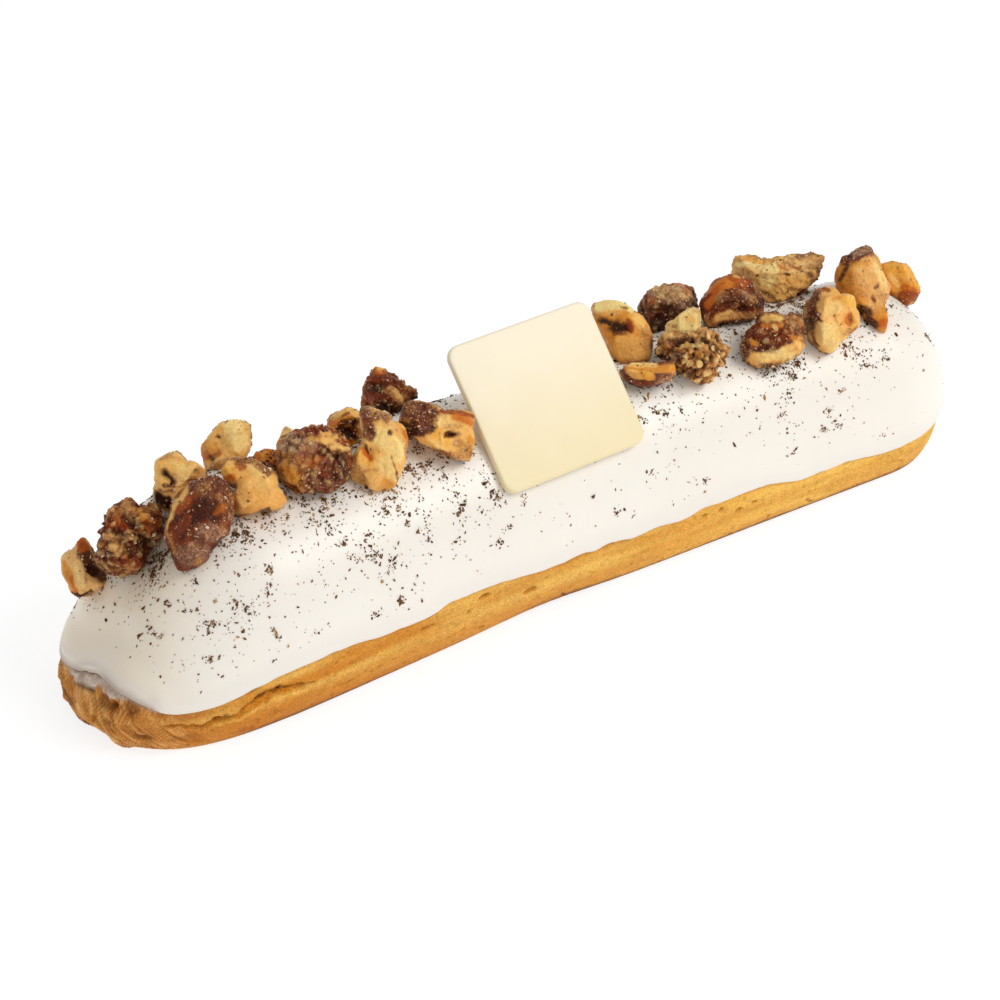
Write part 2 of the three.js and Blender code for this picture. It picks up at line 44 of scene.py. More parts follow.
# the iced bun, with the sizes of the part's source
bun = {
    "length": 145, "reachBroad": 25.4, "reachSlim": 15.8,
    "halfWidth": 14.65, "swell": 2.75, "swellAt": -58, "swellSpan": 34,
    "ridge": 28, "slimDrop": 1.5, "slimFrom": -30, "slimSpan": 88, "undercut": 3,
    "hollow": 1.2, "hollowAt": -6, "hollowSpan": 10,
    "roundFront": 2.7, "roundBack": 2.3, "roundSlim": 2.15,
    "waistSide": 8.8, "waistBroad": 2.7, "waistSlim": 9.3,
    "crownSide": 2.05, "crownBroad": 1.37, "crownSlim": 1.85,
    # places along the bun and height of the icing's lower edge there
    "edge": [(-72.5, 9.8), (-62.8, 7.5), (-47, 9.8), (-40.5, 9.85), (-33, 9.2), (-27.3, 9), (-23.6, 9.8),
             (-17.5, 9.8), (-5.5, 8.85), (-1.6, 9.1), (0.6, 8.8), (2.8, 9.05), (7, 8.5), (11.5, 8.8),
             (15.3, 8.3), (20, 9), (30, 8.95), (37.5, 7.55), (45.5, 7.7), (55, 6.75), (66, 7.5), (72.5, 7.6)],
    "icing": 1.6, "tipDrop": 4, "tipFrom": -8, "tipSpan": 16,
    "lipDrop": 0.4, "gap": 0.35, "chouxInset": 0.3,
    # the walk round the bun starts at this share of it, so that it runs out at the back, where relief fades
    "walkStart": 0.35, "walkFade": 8,
}
spineLeft = bun["reachBroad"] - bun["length"] / 2
spineRight = bun["length"] / 2 - bun["reachSlim"]

# the photo's viewpoint, which also places marks on the nuts
shot = {"from": (-154.27, -228.70, 188.28), "at": (-8.1, -3.62, 14.0), "lens": 82.89, "sensor": 36,
        "nearest": 10}
shotBack = np.array(shot["from"]) - np.array(shot["at"])
shotBack = shotBack / np.linalg.norm(shotBack)
shotRight = np.cross((0, 0, 1), shotBack)
shotRight = shotRight / np.linalg.norm(shotRight)
shotUp = np.cross(shotBack, shotRight)


# a screen colour, 0 to 255, as the linear colour that shaders take
def linear(colour):
    share = np.asarray(colour, float) / 255
    return np.where(share <= 0.04045, share / 12.92, ((share + 0.055) / 1.055) ** 2.4)


def mixed(first, second, share):
    share = np.clip(share, 0, 1)[..., None]
    return first * (1 - share) + second * share


def painted(tint, colour, share):
    return mixed(tint, linear(colour), share)


def smoothStep(value):
    held = np.clip(value, 0, 1)
    return held * held * (3 - 2 * held)


# a smooth step up from 0 at the start to 1 a span above it
def ramp(value, start, span):
    return smoothStep((value - start) / span)


# a smooth step down from 1 a span below the start to 0 at it
def fall(value, start, span):
    return smoothStep((start - value) / span)


def hump(value):
    return np.exp(-value * value)


cellPrimes, seedFactor, seedShift = (73856093, 19349663, 83492791), 7919, 17
stirs = ((2654435761, 15), (2246822519, 13), (3266489917, 16))  # factors and shifts that spread the bits


# one repeatable random number from 0 to 1 for each cell of a whole-number lattice
def latticeRandom(cell, seed):
    whole = cell.astype(np.int64).astype(np.uint32)
    stirred = np.uint32(seed * seedFactor + seedShift)
    for axis, prime in enumerate(cellPrimes):
        stirred = stirred ^ whole[..., axis] * np.uint32(prime)
    for factor, shift in stirs:
        stirred = stirred * np.uint32(factor)
        stirred = stirred ^ (stirred >> np.uint32(shift))
    return stirred / 2.0**32


def latticeTriple(cell, seed):
    return np.stack([latticeRandom(cell, seed + k) for k in range(3)], -1)


# random numbers at the lattice's corners, blended by smooth steps along its three edges
def latticeNoise(points, seed):
    cell = np.floor(points)
    part = smoothStep(points - cell)
    total = np.zeros(points.shape[:-1])
    for corner in np.ndindex(2, 2, 2):
        step = np.array(corner)
        weight = np.prod(np.where(step == 1, part, 1 - part), axis=-1)
        total += weight * latticeRandom(cell + step, seed)
    return total


# sum of lattice noises, each half as wide and half as strong as the last, from -1 to 1
def layeredNoise(points, span, seed, layers):
    total, layerShift = 0, 31.7
    for k in range(layers):
        layer = latticeNoise(points / span * 2**k + layerShift * k, seed + k)
        total = total + (2 * layer - 1) * 0.5**k
    return total / (2 - 0.5 ** (layers - 1))


# the cells round each place, and the random place of the one grain that each cell holds
def grainsNear(place, seed):
    cell = np.floor(place)
    for near in np.ndindex(3, 3, 3):
        other = cell + np.array(near) - 1
        yield other, latticeTriple(other, seed + 1)


# distance to the nearest grain, in spans, and that grain's own random number
def nearestGrain(points, span, seed):
    place = points / span
    nearest, own = np.full(points.shape[:-1], 9.0), np.zeros(points.shape[:-1])
    for other, jitter in grainsNear(place, seed):
        distance = np.linalg.norm(other + jitter - place, axis=-1)
        closer = distance < nearest
        nearest, own = np.where(closer, distance, nearest), np.where(closer, jitter[..., 0], own)
    return nearest, own


# broken faces: every grain is a plane with its own tilt, joined by how near each one is
def brokenFacets(points, span, seed):
    place, sharpness = points / span, 16
    total, weights = np.zeros(points.shape[:-1]), np.full(points.shape[:-1], 1e-9)
    for other, jitter in grainsNear(place, seed):
        away = place - other - jitter
        tilt = latticeTriple(other, seed + 4) * 2 - 1
        weight = np.exp(-sharpness * (away**2).sum(-1))
        total += weight * (away * tilt).sum(-1)
        weights += weight
    return total / weights


# half width of the bun along its spine: a plain width with a bell-shaped swell near the broad end
def halfWidthAt(x):
    return bun["halfWidth"] + bun["swell"] * hump((x - bun["swellAt"]) / bun["swellSpan"])


# height of the ridge along the spine: level, then falling by a square towards the slim end
def ridgeAt(x):
    return bun["ridge"] - bun["slimDrop"] * np.maximum(0, (x - bun["slimFrom"]) / bun["slimSpan"]) ** 2


# a value of the sides, moved towards that of either end by how much a place belongs to it
def blend(kind, broad, slim):
    side = bun[kind + "Side"]
    return side + (bun[kind + "Broad"] - side) * broad + (bun[kind + "Slim"] - side) * slim


# the way round the bun, from the broad end of the front: straight sides with a rounded-box outline at either
# end, in columns that are about evenly spaced
def wayRound(sideColumns, slimColumns, broadColumns):
    along = np.linspace(spineLeft, spineRight, sideColumns, endpoint=False)
    back = along[0] + along[-1] + (along[1] - along[0]) - along
    parts = []
    for spine, side in ((along, -1), (back, 1)):
        zero = np.zeros(sideColumns)
        parts.append((spine, zero, side * halfWidthAt(spine), zero, zero))
        columns = slimColumns if side < 0 else broadColumns
        turn = np.linspace(-0.5, 0.5, columns, endpoint=False) * math.pi * -side
        ahead, aside = np.maximum(0, np.cos(turn)), np.sin(turn)
        if side < 0:
            power, reach, end, sense = bun["roundSlim"], bun["reachSlim"], spineRight, 1
        else:
            power = np.where(aside < 0, bun["roundFront"], bun["roundBack"])
            reach, end, sense = bun["reachBroad"], spineLeft, -1
        rim = (ahead**power + np.abs(aside) ** power) ** (-1 / power)
        belongs = ahead**2
        parts.append((
            np.full(columns, end), sense * reach * rim * ahead, halfWidthAt(end) * rim * aside,
            belongs * (side > 0), belongs * (side < 0),
        ))
    keys = ("spine", "along", "across", "broad", "slim")
    way = {key: np.concatenate([part[k] for part in parts]) for k, key in enumerate(keys)}
    way["x"] = way["spine"] + way["along"]
    way["span"] = np.hypot(way["along"], way["across"])
    steps = np.hypot(*(np.diff(way[key], append=way[key][0]) for key in ("x", "across")))
    length = np.cumsum(steps) - steps
    way["walk"] = (length + bun["walkStart"] * steps.sum()) % steps.sum()
    return way


# a point of the section: level -1 is the edge of the base, 0 the waist, 1 the ridge; an ellipse quarter below
# the waist and a superellipse quarter above it, moved in by depth
def sectionPoint(way, level, depth):
    level, depth = np.broadcast_arrays(level, depth)
    waist = blend("waist", way["broad"], way["slim"])
    roundness = 2 / blend("crown", way["broad"], way["slim"])
    below = level < 0
    angle = np.where(below, level + 1, level) * math.pi / 2
    rise, drop = np.sin(angle), np.maximum(0, np.cos(angle))
    drawnIn = bun["hollow"] * hump((way["spine"] - bun["hollowAt"]) / bun["hollowSpan"]) * (way["across"] < 0)
    drawnIn = bun["undercut"] + drawnIn
    share = np.where(below, 1 - drawnIn / way["span"] * (1 - rise), drop**roundness)
    top = ridgeAt(way["spine"]) - depth - waist
    height = np.where(below, waist * (1 - drop), waist + top * np.maximum(0, rise) ** roundness)
    scale = share * (1 - depth / way["span"])
    return np.stack([way["spine"] + way["along"] * scale, way["across"] * scale, height], -1)


# the level at which the section reaches a height
def levelAt(way, height):
    waist = blend("waist", way["broad"], way["slim"])
    climb = np.clip((height - waist) / (ridgeAt(way["spine"]) - waist), 0, 1)
    above = np.arcsin(climb ** (blend("crown", way["broad"], way["slim"]) / 2))
    below = np.arccos(np.clip(1 - height / waist, -1, 1)) - math.pi / 2
    return np.where(height < waist, below, above) / (math.pi / 2)


# height of the icing's lower edge: smooth steps between its knots, lower round the broad tip
def edgeHeight(way):
    height = bun["edge"][0][1]
    for (start, low), (end, high) in zip(bun["edge"], bun["edge"][1:]):
        height = height + (high - low) * ramp(way["x"], start, end - start)
    return height - bun["tipDrop"] * way["broad"] * ramp(way["across"], bun["tipFrom"], bun["tipSpan"])


# height of the icing over a point of the plan, from the same section
def icingHeight(x, y):
    spine = np.clip(x, spineLeft, spineRight)
    left = x < spine
    power = np.where(left, np.where(y < 0, bun["roundFront"], bun["roundBack"]), bun["roundSlim"])
    ahead = np.abs(x - spine) / np.where(left, bun["reachBroad"], bun["reachSlim"])
    aside = np.abs(y) / halfWidthAt(spine)
    share = np.minimum(1, (ahead**power + aside**power) ** (1 / power))
    belongs = ahead**2 / np.maximum(1e-12, ahead**2 + aside**2)
    broad, slim = belongs * left, belongs * (x > spine)
    crown = blend("crown", broad, slim)
    waist = blend("waist", broad, slim)
    return waist + (ridgeAt(spine) - waist) * np.maximum(0, 1 - share**crown) ** (1 / crown)


# outward normal of the icing over a point of the plan, from the slopes over a short step either way
def icingNormal(x, y):
    step = 0.2
    alongSlope = (icingHeight(x + step, y) - icingHeight(x - step, y)) / (2 * step)
    acrossSlope = (icingHeight(x, y + step) - icingHeight(x, y - step)) / (2 * step)
    normal = np.stack([-alongSlope, -acrossSlope, np.ones_like(alongSlope)], -1)
    return normal / np.linalg.norm(normal, axis=-1, keepdims=True)


# outward normals of a grid that is closed along its columns: the cross product of its two steps
def gridNormals(points):
    across = np.roll(points, -1, axis=1) - np.roll(points, 1, axis=1)
    normal = np.cross(across, np.gradient(points, axis=0))
    return normal / np.maximum(1e-9, np.linalg.norm(normal, axis=-1, keepdims=True))


# four corners for every cell of such a grid
def gridFaces(rows, columns):
    row, column = np.arange(rows - 1)[:, None], np.arange(columns)[None, :]
    after = (column + 1) % columns
    low, high = row * columns, (row + 1) * columns
    return np.stack((low + column, low + after, high + after, high + column), -1).reshape(-1, 4)


# a mesh object from millimetre points, with its doubles merged so that poles and seams close
def makePiece(name, points, faces, material, tint, values=None, merge=True):
    mesh = bpy.data.meshes.new(name)
    mesh.from_pydata((points.reshape(-1, 3) * toMetres).tolist(), [], faces.tolist())
    colour = np.concatenate([tint.reshape(-1, 3), np.ones((tint.size // 3, 1))], 1)
    layer = mesh.attributes.new("tint", "FLOAT_COLOR", "POINT")
    layer.data.foreach_set("color", colour.astype(np.float32).ravel())
    for key, value in (values or {}).items():
        layer = mesh.attributes.new(key, "FLOAT", "POINT")
        layer.data.foreach_set("value", np.asarray(value, np.float32).ravel())
    if merge:
        work = bmesh.new()
        work.from_mesh(mesh)
        bmesh.ops.remove_doubles(work, verts=work.verts, dist=mergeWithin)
        bmesh.ops.dissolve_degenerate(work, edges=work.edges, dist=dissolveWithin)
        work.to_mesh(mesh)
        work.free()
    mesh.polygons.foreach_set("use_smooth", np.ones(len(mesh.polygons), bool))
    mesh.materials.append(material)
    piece = bpy.data.objects.new(name, mesh)
    bpy.context.scene.collection.objects.link(piece)
    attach(piece, "root")
    return piece


# a maths node whose inputs are sockets or plain numbers
def worked(tree, operation, *sources):
    node = tree.nodes.new("ShaderNodeMath")
    node.operation = operation
    for socket, source in zip(node.inputs, sources):
        if isinstance(source, (int, float)):
            socket.default_value = source
        else:
            tree.links.new(source, socket)
    return node.outputs[0]


# a shader group with its inputs' plain values, its named outputs and a place in Object coordinates
def newGroup(name, inputs, outputs):
    group = bpy.data.node_groups.new(name, "ShaderNodeTree")
    for title, value in inputs.items():
        socket = group.interface.new_socket(title, in_out="INPUT", socket_type="NodeSocketFloat")
        socket.default_value = value
    for title in outputs:
        group.interface.new_socket(title, in_out="OUTPUT", socket_type="NodeSocketFloat")
    given, result = group.nodes.new("NodeGroupInput"), group.nodes.new("NodeGroupOutput")
    place = group.nodes.new("ShaderNodeTexCoord")
    return group, given.outputs, result.inputs, place.outputs["Object"]


grainNoise = {"detail": 3, "coarser": 0.23, "coarseShare": 0.15}


# a fine noise and a weaker coarse one give a tone round 1 and a height for bump
def grainGroup():
    group, given, result, place = newGroup("fineGrain", {"Scale": 800.0, "Strength": 0.2}, ("Tone", "Height"))
    noises = []
    for scale in (given["Scale"], worked(group, "MULTIPLY", given["Scale"], grainNoise["coarser"])):
        noise = group.nodes.new("ShaderNodeTexNoise")
        noise.inputs["Detail"].default_value = grainNoise["detail"]
        group.links.new(place, noise.inputs["Vector"])
        group.links.new(scale, noise.inputs["Scale"])
        noises.append(noise.outputs["Fac"])
    both = worked(group, "MULTIPLY_ADD", noises[1], grainNoise["coarseShare"], noises[0])
    centred = worked(group, "SUBTRACT", both, (1 + grainNoise["coarseShare"]) / 2)
    group.links.new(worked(group, "MULTIPLY_ADD", centred, given["Strength"], 1), result["Tone"])
    group.links.new(both, result["Height"])
    return group


# two sizes of sugar cells as (times finer, share); ranges are (random part, least)
sugarCells = {
    "sizes": ((1.0, 1.0), (2.3, 0.7)), "top": 0.5, "rise": (1.8, 0.3), "leastTone": 0.25,
    "sparkleWidth": (0.34, 0.1), "sparkleEdge": 9.0, "sparkleFrom": 0.62, "sparkle": 0.5,
}


# rounded cells, painted light on their tops and painted shade between, a few with a painted sparkle of pale
# sugar, by an amount from 0 to 1
def sugarGroup():
    inputs, outputs = {"Scale": 2400.0, "Amount": 0.0}, ("Tone", "Height", "Sparkle")
    group, given, result, place = newGroup("sugarGrain", inputs, outputs)
    (rise, leastRise), (wide, leastWide) = sugarCells["rise"], sugarCells["sparkleWidth"]

    def work(operation, *sources):
        return worked(group, operation, *sources)

    high, light = 0.0, 0.0
    for finer, share in sugarCells["sizes"]:
        cells = group.nodes.new("ShaderNodeTexVoronoi")
        random = group.nodes.new("ShaderNodeSeparateColor")
        group.links.new(place, cells.inputs["Vector"])
        group.links.new(work("MULTIPLY", given["Scale"], finer), cells.inputs["Scale"])
        group.links.new(cells.outputs["Color"], random.inputs["Color"])
        top = work("SUBTRACT", sugarCells["top"], cells.outputs["Distance"])
        strong = work("MULTIPLY_ADD", random.outputs["Red"], rise * share, leastRise)
        high = work("ADD", work("MULTIPLY", top, strong), high)
        width = work("MULTIPLY_ADD", random.outputs["Blue"], wide, leastWide)
        near = work("SUBTRACT", width, cells.outputs["Distance"])
        near = work("MULTIPLY", near, sugarCells["sparkleEdge"])
        chosen = work("GREATER_THAN", random.outputs["Green"], sugarCells["sparkleFrom"])
        held = work("MINIMUM", work("MAXIMUM", work("MULTIPLY", near, chosen), 0.0), share)
        light = work("MAXIMUM", held, light)
    raised = work("MULTIPLY", high, given["Amount"])
    sparkle = work("MULTIPLY", work("MULTIPLY", light, given["Amount"]), sugarCells["sparkle"])
    group.links.new(work("MAXIMUM", work("ADD", raised, 1.0), sugarCells["leastTone"]), result["Tone"])
    group.links.new(raised, result["Height"])
    group.links.new(sparkle, result["Sparkle"])
    return group


fineGrain, sugarGrain = grainGroup(), sugarGroup()


# a material that takes its colour from the piece's tint attribute, toned and bumped by the grain group, and
# by the sugar group where the look has sugar
def foodMaterial(name, look):
    material = bpy.data.materials.new(name)
    material.use_nodes = True
    tree = material.node_tree
    shader, link = tree.nodes["Principled BSDF"], tree.links.new

    def placed(group, **values):
        node = tree.nodes.new("ShaderNodeGroup")
        node.node_tree = group
        for title, value in values.items():
            node.inputs[title].default_value = value
        return node

    def attribute(title):
        node = tree.nodes.new("ShaderNodeAttribute")
        node.attribute_name = title
        return node.outputs

    def scaled(colour, tone):
        node = tree.nodes.new("ShaderNodeVectorMath")
        node.operation = "SCALE"
        link(colour, node.inputs[0])
        link(tone, node.inputs["Scale"])
        return node.outputs[0]

    grain = placed(fineGrain, Scale=look["grainScale"], Strength=look["grainTone"]).outputs
    colour, height = scaled(attribute("tint")["Color"], grain["Tone"]), grain["Height"]
    if "sugarScale" in look:
        sugar = placed(sugarGrain, Scale=look["sugarScale"])
        link(attribute("crust")["Fac"], sugar.inputs["Amount"])
        bright = tree.nodes.new("ShaderNodeMix")
        bright.data_type = "RGBA"  # its colours are inputs 6 and 7 and output 2
        bright.inputs[7].default_value = (*linear(look["sugar"]), 1)
        link(sugar.outputs["Sparkle"], bright.inputs[0])
        link(scaled(colour, sugar.outputs["Tone"]), bright.inputs[6])
        colour = bright.outputs[2]
        height = worked(tree, "MULTIPLY_ADD", sugar.outputs["Height"], look["sugarHeight"], height)
    link(colour, shader.inputs["Base Color"])
    source, span = grain["Height"], (0.3, 0.85)
    if "roughnessFrom" in look:
        source, span = attribute(look["roughnessFrom"])["Fac"], (0, 1)
    dull = tree.nodes.new("ShaderNodeMapRange")
    for title, value in zip(("From Min", "From Max", "To Min", "To Max"), (*span, *look["roughness"])):
        dull.inputs[title].default_value = value
    link(source, dull.inputs["Value"])
    link(dull.outputs["Result"], shader.inputs["Roughness"])
    bump = tree.nodes.new("ShaderNodeBump")
    bump.inputs["Strength"].default_value = look["bump"]
    bump.inputs["Distance"].default_value = look["bumpHeight"] * toMetres
    link(height, bump.inputs["Height"])
    link(bump.outputs["Normal"], shader.inputs["Normal"])
    for title, value in (
        ("Specular IOR Level", look["specular"]), ("Subsurface Weight", look["subsurface"]),
        ("Subsurface Radius", look["subsurfaceRadius"]),
        ("Subsurface Scale", look["subsurfaceDepth"] * toMetres),
        ("Coat Weight", look.get("coat", 0)), ("Coat Roughness", look.get("coatRoughness", 0.2)),
    ):
        shader.inputs[title].default_value = value
    return material


# choux: golden crust with lengthwise streaks, pores, pits, a burst seam and a rough flaky broad end; places
# on the flank are given as walk round the bun and height, in mm
chouxLook = {
    "columns": (430, 150, 280), "flankRows": 64, "crownRows": 6, "baseRows": 5, "ledgeShare": 0.3,
    "streakDepth": 0.15, "grainDepth": 0.06, "poreDepth": 0.2, "poreSpan": 1.15, "poreReach": 0.4,
    "crackDepth": 0.2, "crackWidth": 0.04, "burstDepth": 1.1, "burstLip": 0.15, "cavityDepth": 0.4,
    "flakeDepth": 0.15, "flakeSpan": 2.6, "fibreDepth": 0.2, "fibreSlant": 0.8, "fibreStretch": 0.13,
    "fibreSpan": 0.5, "cragDepth": 0.8, "endInset": 0.3, "filmDepth": 0.25, "hangsFrom": 0.3,
    "hemBlur": 0.18, "baseReach": 2.4, "lipShadowReach": 0.16, "shadowDrop": 0.3, "shadowReach": 0.22,
    "leastGape": 0.02, "burstEdge": 5, "burstFrom": 0.15, "partedFrom": 0.3, "lipReach": 0.16, "rimAt": -1.4,
    "rimReach": 0.22, "settledFrom": 1.5, "settledShare": 0.06,
    "poreFrom": 0.6, "poreStretch": (1, 1.5, 1), "flakeStretch": (1, 0.7, 1),
    "poreSeed": 20, "fibreSeed": 80, "flakeSeed": 85,
    # starts and spans of masks
    "endStep": (0.12, 0.5), "crackStep": (0.1, 0.2), "pitStep": (1.15, 0.5), "cavityStep": (0.34, 0.2),
    "cragStep": (6, 4), "lightStep": (3.2, 3), "brightStep": (-15, 60), "deepStep": (8, 4),
    "rustStep": (-2, 1.2), "footShadeStep": (-0.42, 0.2),
    # how much noise moves an edge, in mm or in shares of its own size
    "pitWaver": 0.4, "seamWaver": 0.35, "gapeWaver": 0.8, "hemWaver": 0.4,
    # strengths of layers of colour, and the shadow's tone
    "brightShare": 0.8, "deepShare": 0.3, "baseShare": 0.25, "rustShare": 0.45, "endShare": 0.85,
    "fibreShare": 0.75, "rimShare": 0.5, "footShadeShare": 0.9, "lipShadowShare": 0.45, "filmShare": 0.95,
    "shadowShare": 0.85, "shadowTone": 0.4,
    # stretch along the walk and up, span in mm, seed, layers
    "noises": {
        "streaks": (1, 9, 16, 3, 3), "grains": (1, 1.4, 0.75, 8, 2), "cracks": (1, 4, 9, 130, 2),
        "crackPatches": (1, 1, 7, 140, 2), "pitEdges": (1, 1, 0.8, 120, 2), "seam": (1, 1, 1.4, 60, 3),
        "gape": (1, 1, 1, 70, 2), "cavity": (1, 1.3, 3.4, 97, 2), "crags": (1, 0.6, 2.6, 98, 2),
        "hem": (1, 0, 1.5, 110, 3), "drag": (0.1, 1, 0.45, 112, 2), "shadow": (1, 1, 3, 115, 2),
        "tone": (1, 1, 6, 12, 3), "lipShadow": (1, 1, 5, 116, 2), "footShade": (1, 0, 24, 117, 2),
    },
    # walk, height, half length, half height, depth
    "pits": [(96.3, 5.4, 1.3, 0.35, 0.4), (98.4, 5, 0.8, 0.35, 0.35), (100.1, 4.6, 1, 0.4, 0.45),
             (102.1, 5.4, 0.8, 0.5, 0.5), (143.3, 8.2, 0.9, 0.4, 0.6), (151.1, 5.9, 1.1, 0.5, 0.35),
             (134, 7, 1.3, 0.2, 0.35), (140.9, 6.6, 0.4, 0.3, 0.35), (143.4, 2.6, 0.5, 0.3, 0.25),
             (121.5, 3.3, 1.2, 0.2, 0.3), (190.4, 6.3, 0.6, 0.25, 0.3), (187.6, 5.9, 0.8, 0.3, 0.3),
             (184.2, 7.2, 0.5, 0.3, 0.3), (181.3, 7.2, 0.9, 0.2, 0.25), (87.6, 7.2, 1, 0.7, 0.9),
             (84.2, 4.1, 0.5, 0.6, 0.5)],
    # walk, height, half gape
    "burst": [(99, 4.7, 0), (102, 5, 0.4), (104.8, 4.9, 0.65), (107.2, 6, 1), (109.7, 6.9, 1.05),
              (111.6, 6.9, 0.7), (115, 6.1, 0.3), (118, 5.8, 0)],
    # walk, drop of the icing film below the icing's edge
    "film": [(60, 0), (69, 0.7), (74.9, 0.8), (78.4, 1.7), (84.1, 1.6), (88.1, 1.4), (90.8, 0.6), (93.1, 0.7),
             (95.5, 0)],
    "rustWalk": 97, "rustReach": 5, "spotWalk": 105.6, "spotHeight": 1.7,
    "spotLong": 1.2, "spotHigh": 0.5, "spotShare": 0.5,
    "gold": (208, 132, 38), "light": (236, 184, 90), "bright": (250, 196, 92), "deep": (186, 104, 22),
    "brown": (200, 130, 56), "fibre": (240, 186, 112), "rust": (158, 76, 24), "pitShade": (104, 54, 16),
    "floor": (222, 138, 26), "filmLight": (224, 208, 192), "filmDark": (172, 148, 130),
    "grainScale": 4600, "grainTone": 1.4, "roughness": (0.55, 0.75), "bump": 0.5, "bumpHeight": 0.2,
    "specular": 0.16, "subsurface": 0.08, "subsurfaceRadius": (1, 0.5, 0.2), "subsurfaceDepth": 0.8,
}


# how far the film of icing hangs below the icing's edge, by walk
def filmDrop(way):
    walk, drop = np.array(chouxLook["film"]).T
    return np.interp(way["walk"], walk, drop)


# 0 where the walk runs out and starts again, 1 from a short way off
def runsOut(way):
    return smoothStep(np.minimum(way["walk"], way["walk"].max() - way["walk"]) / bun["walkFade"])


# rows run from the spine line of the base out to its edge, up the flank and over the crown under the icing
def chouxGrid(way):
    look, count = chouxLook, len(way["x"])
    ledge = levelAt(way, edgeHeight(way) - bun["lipDrop"] * look["ledgeShare"])
    under = np.linspace(0, 1, look["baseRows"], endpoint=False)[:, None, None]
    edge = sectionPoint(way, np.full((1, count), -1.0), bun["chouxInset"])
    spine = np.stack([way["spine"], np.zeros(count), np.zeros(count)], -1)
    base = spine + (edge - spine) * under
    base[..., 2] = 0
    share = np.linspace(0, 1, look["flankRows"])[:, None]
    flank = sectionPoint(way, -1 + (1 + ledge) * share, bun["chouxInset"])
    over = np.linspace(0, 1, look["crownRows"])[:, None]
    crown = sectionPoint(way, ledge + (1 - ledge) * over, bun["icing"] + bun["gap"])
    return base, flank, crown, share


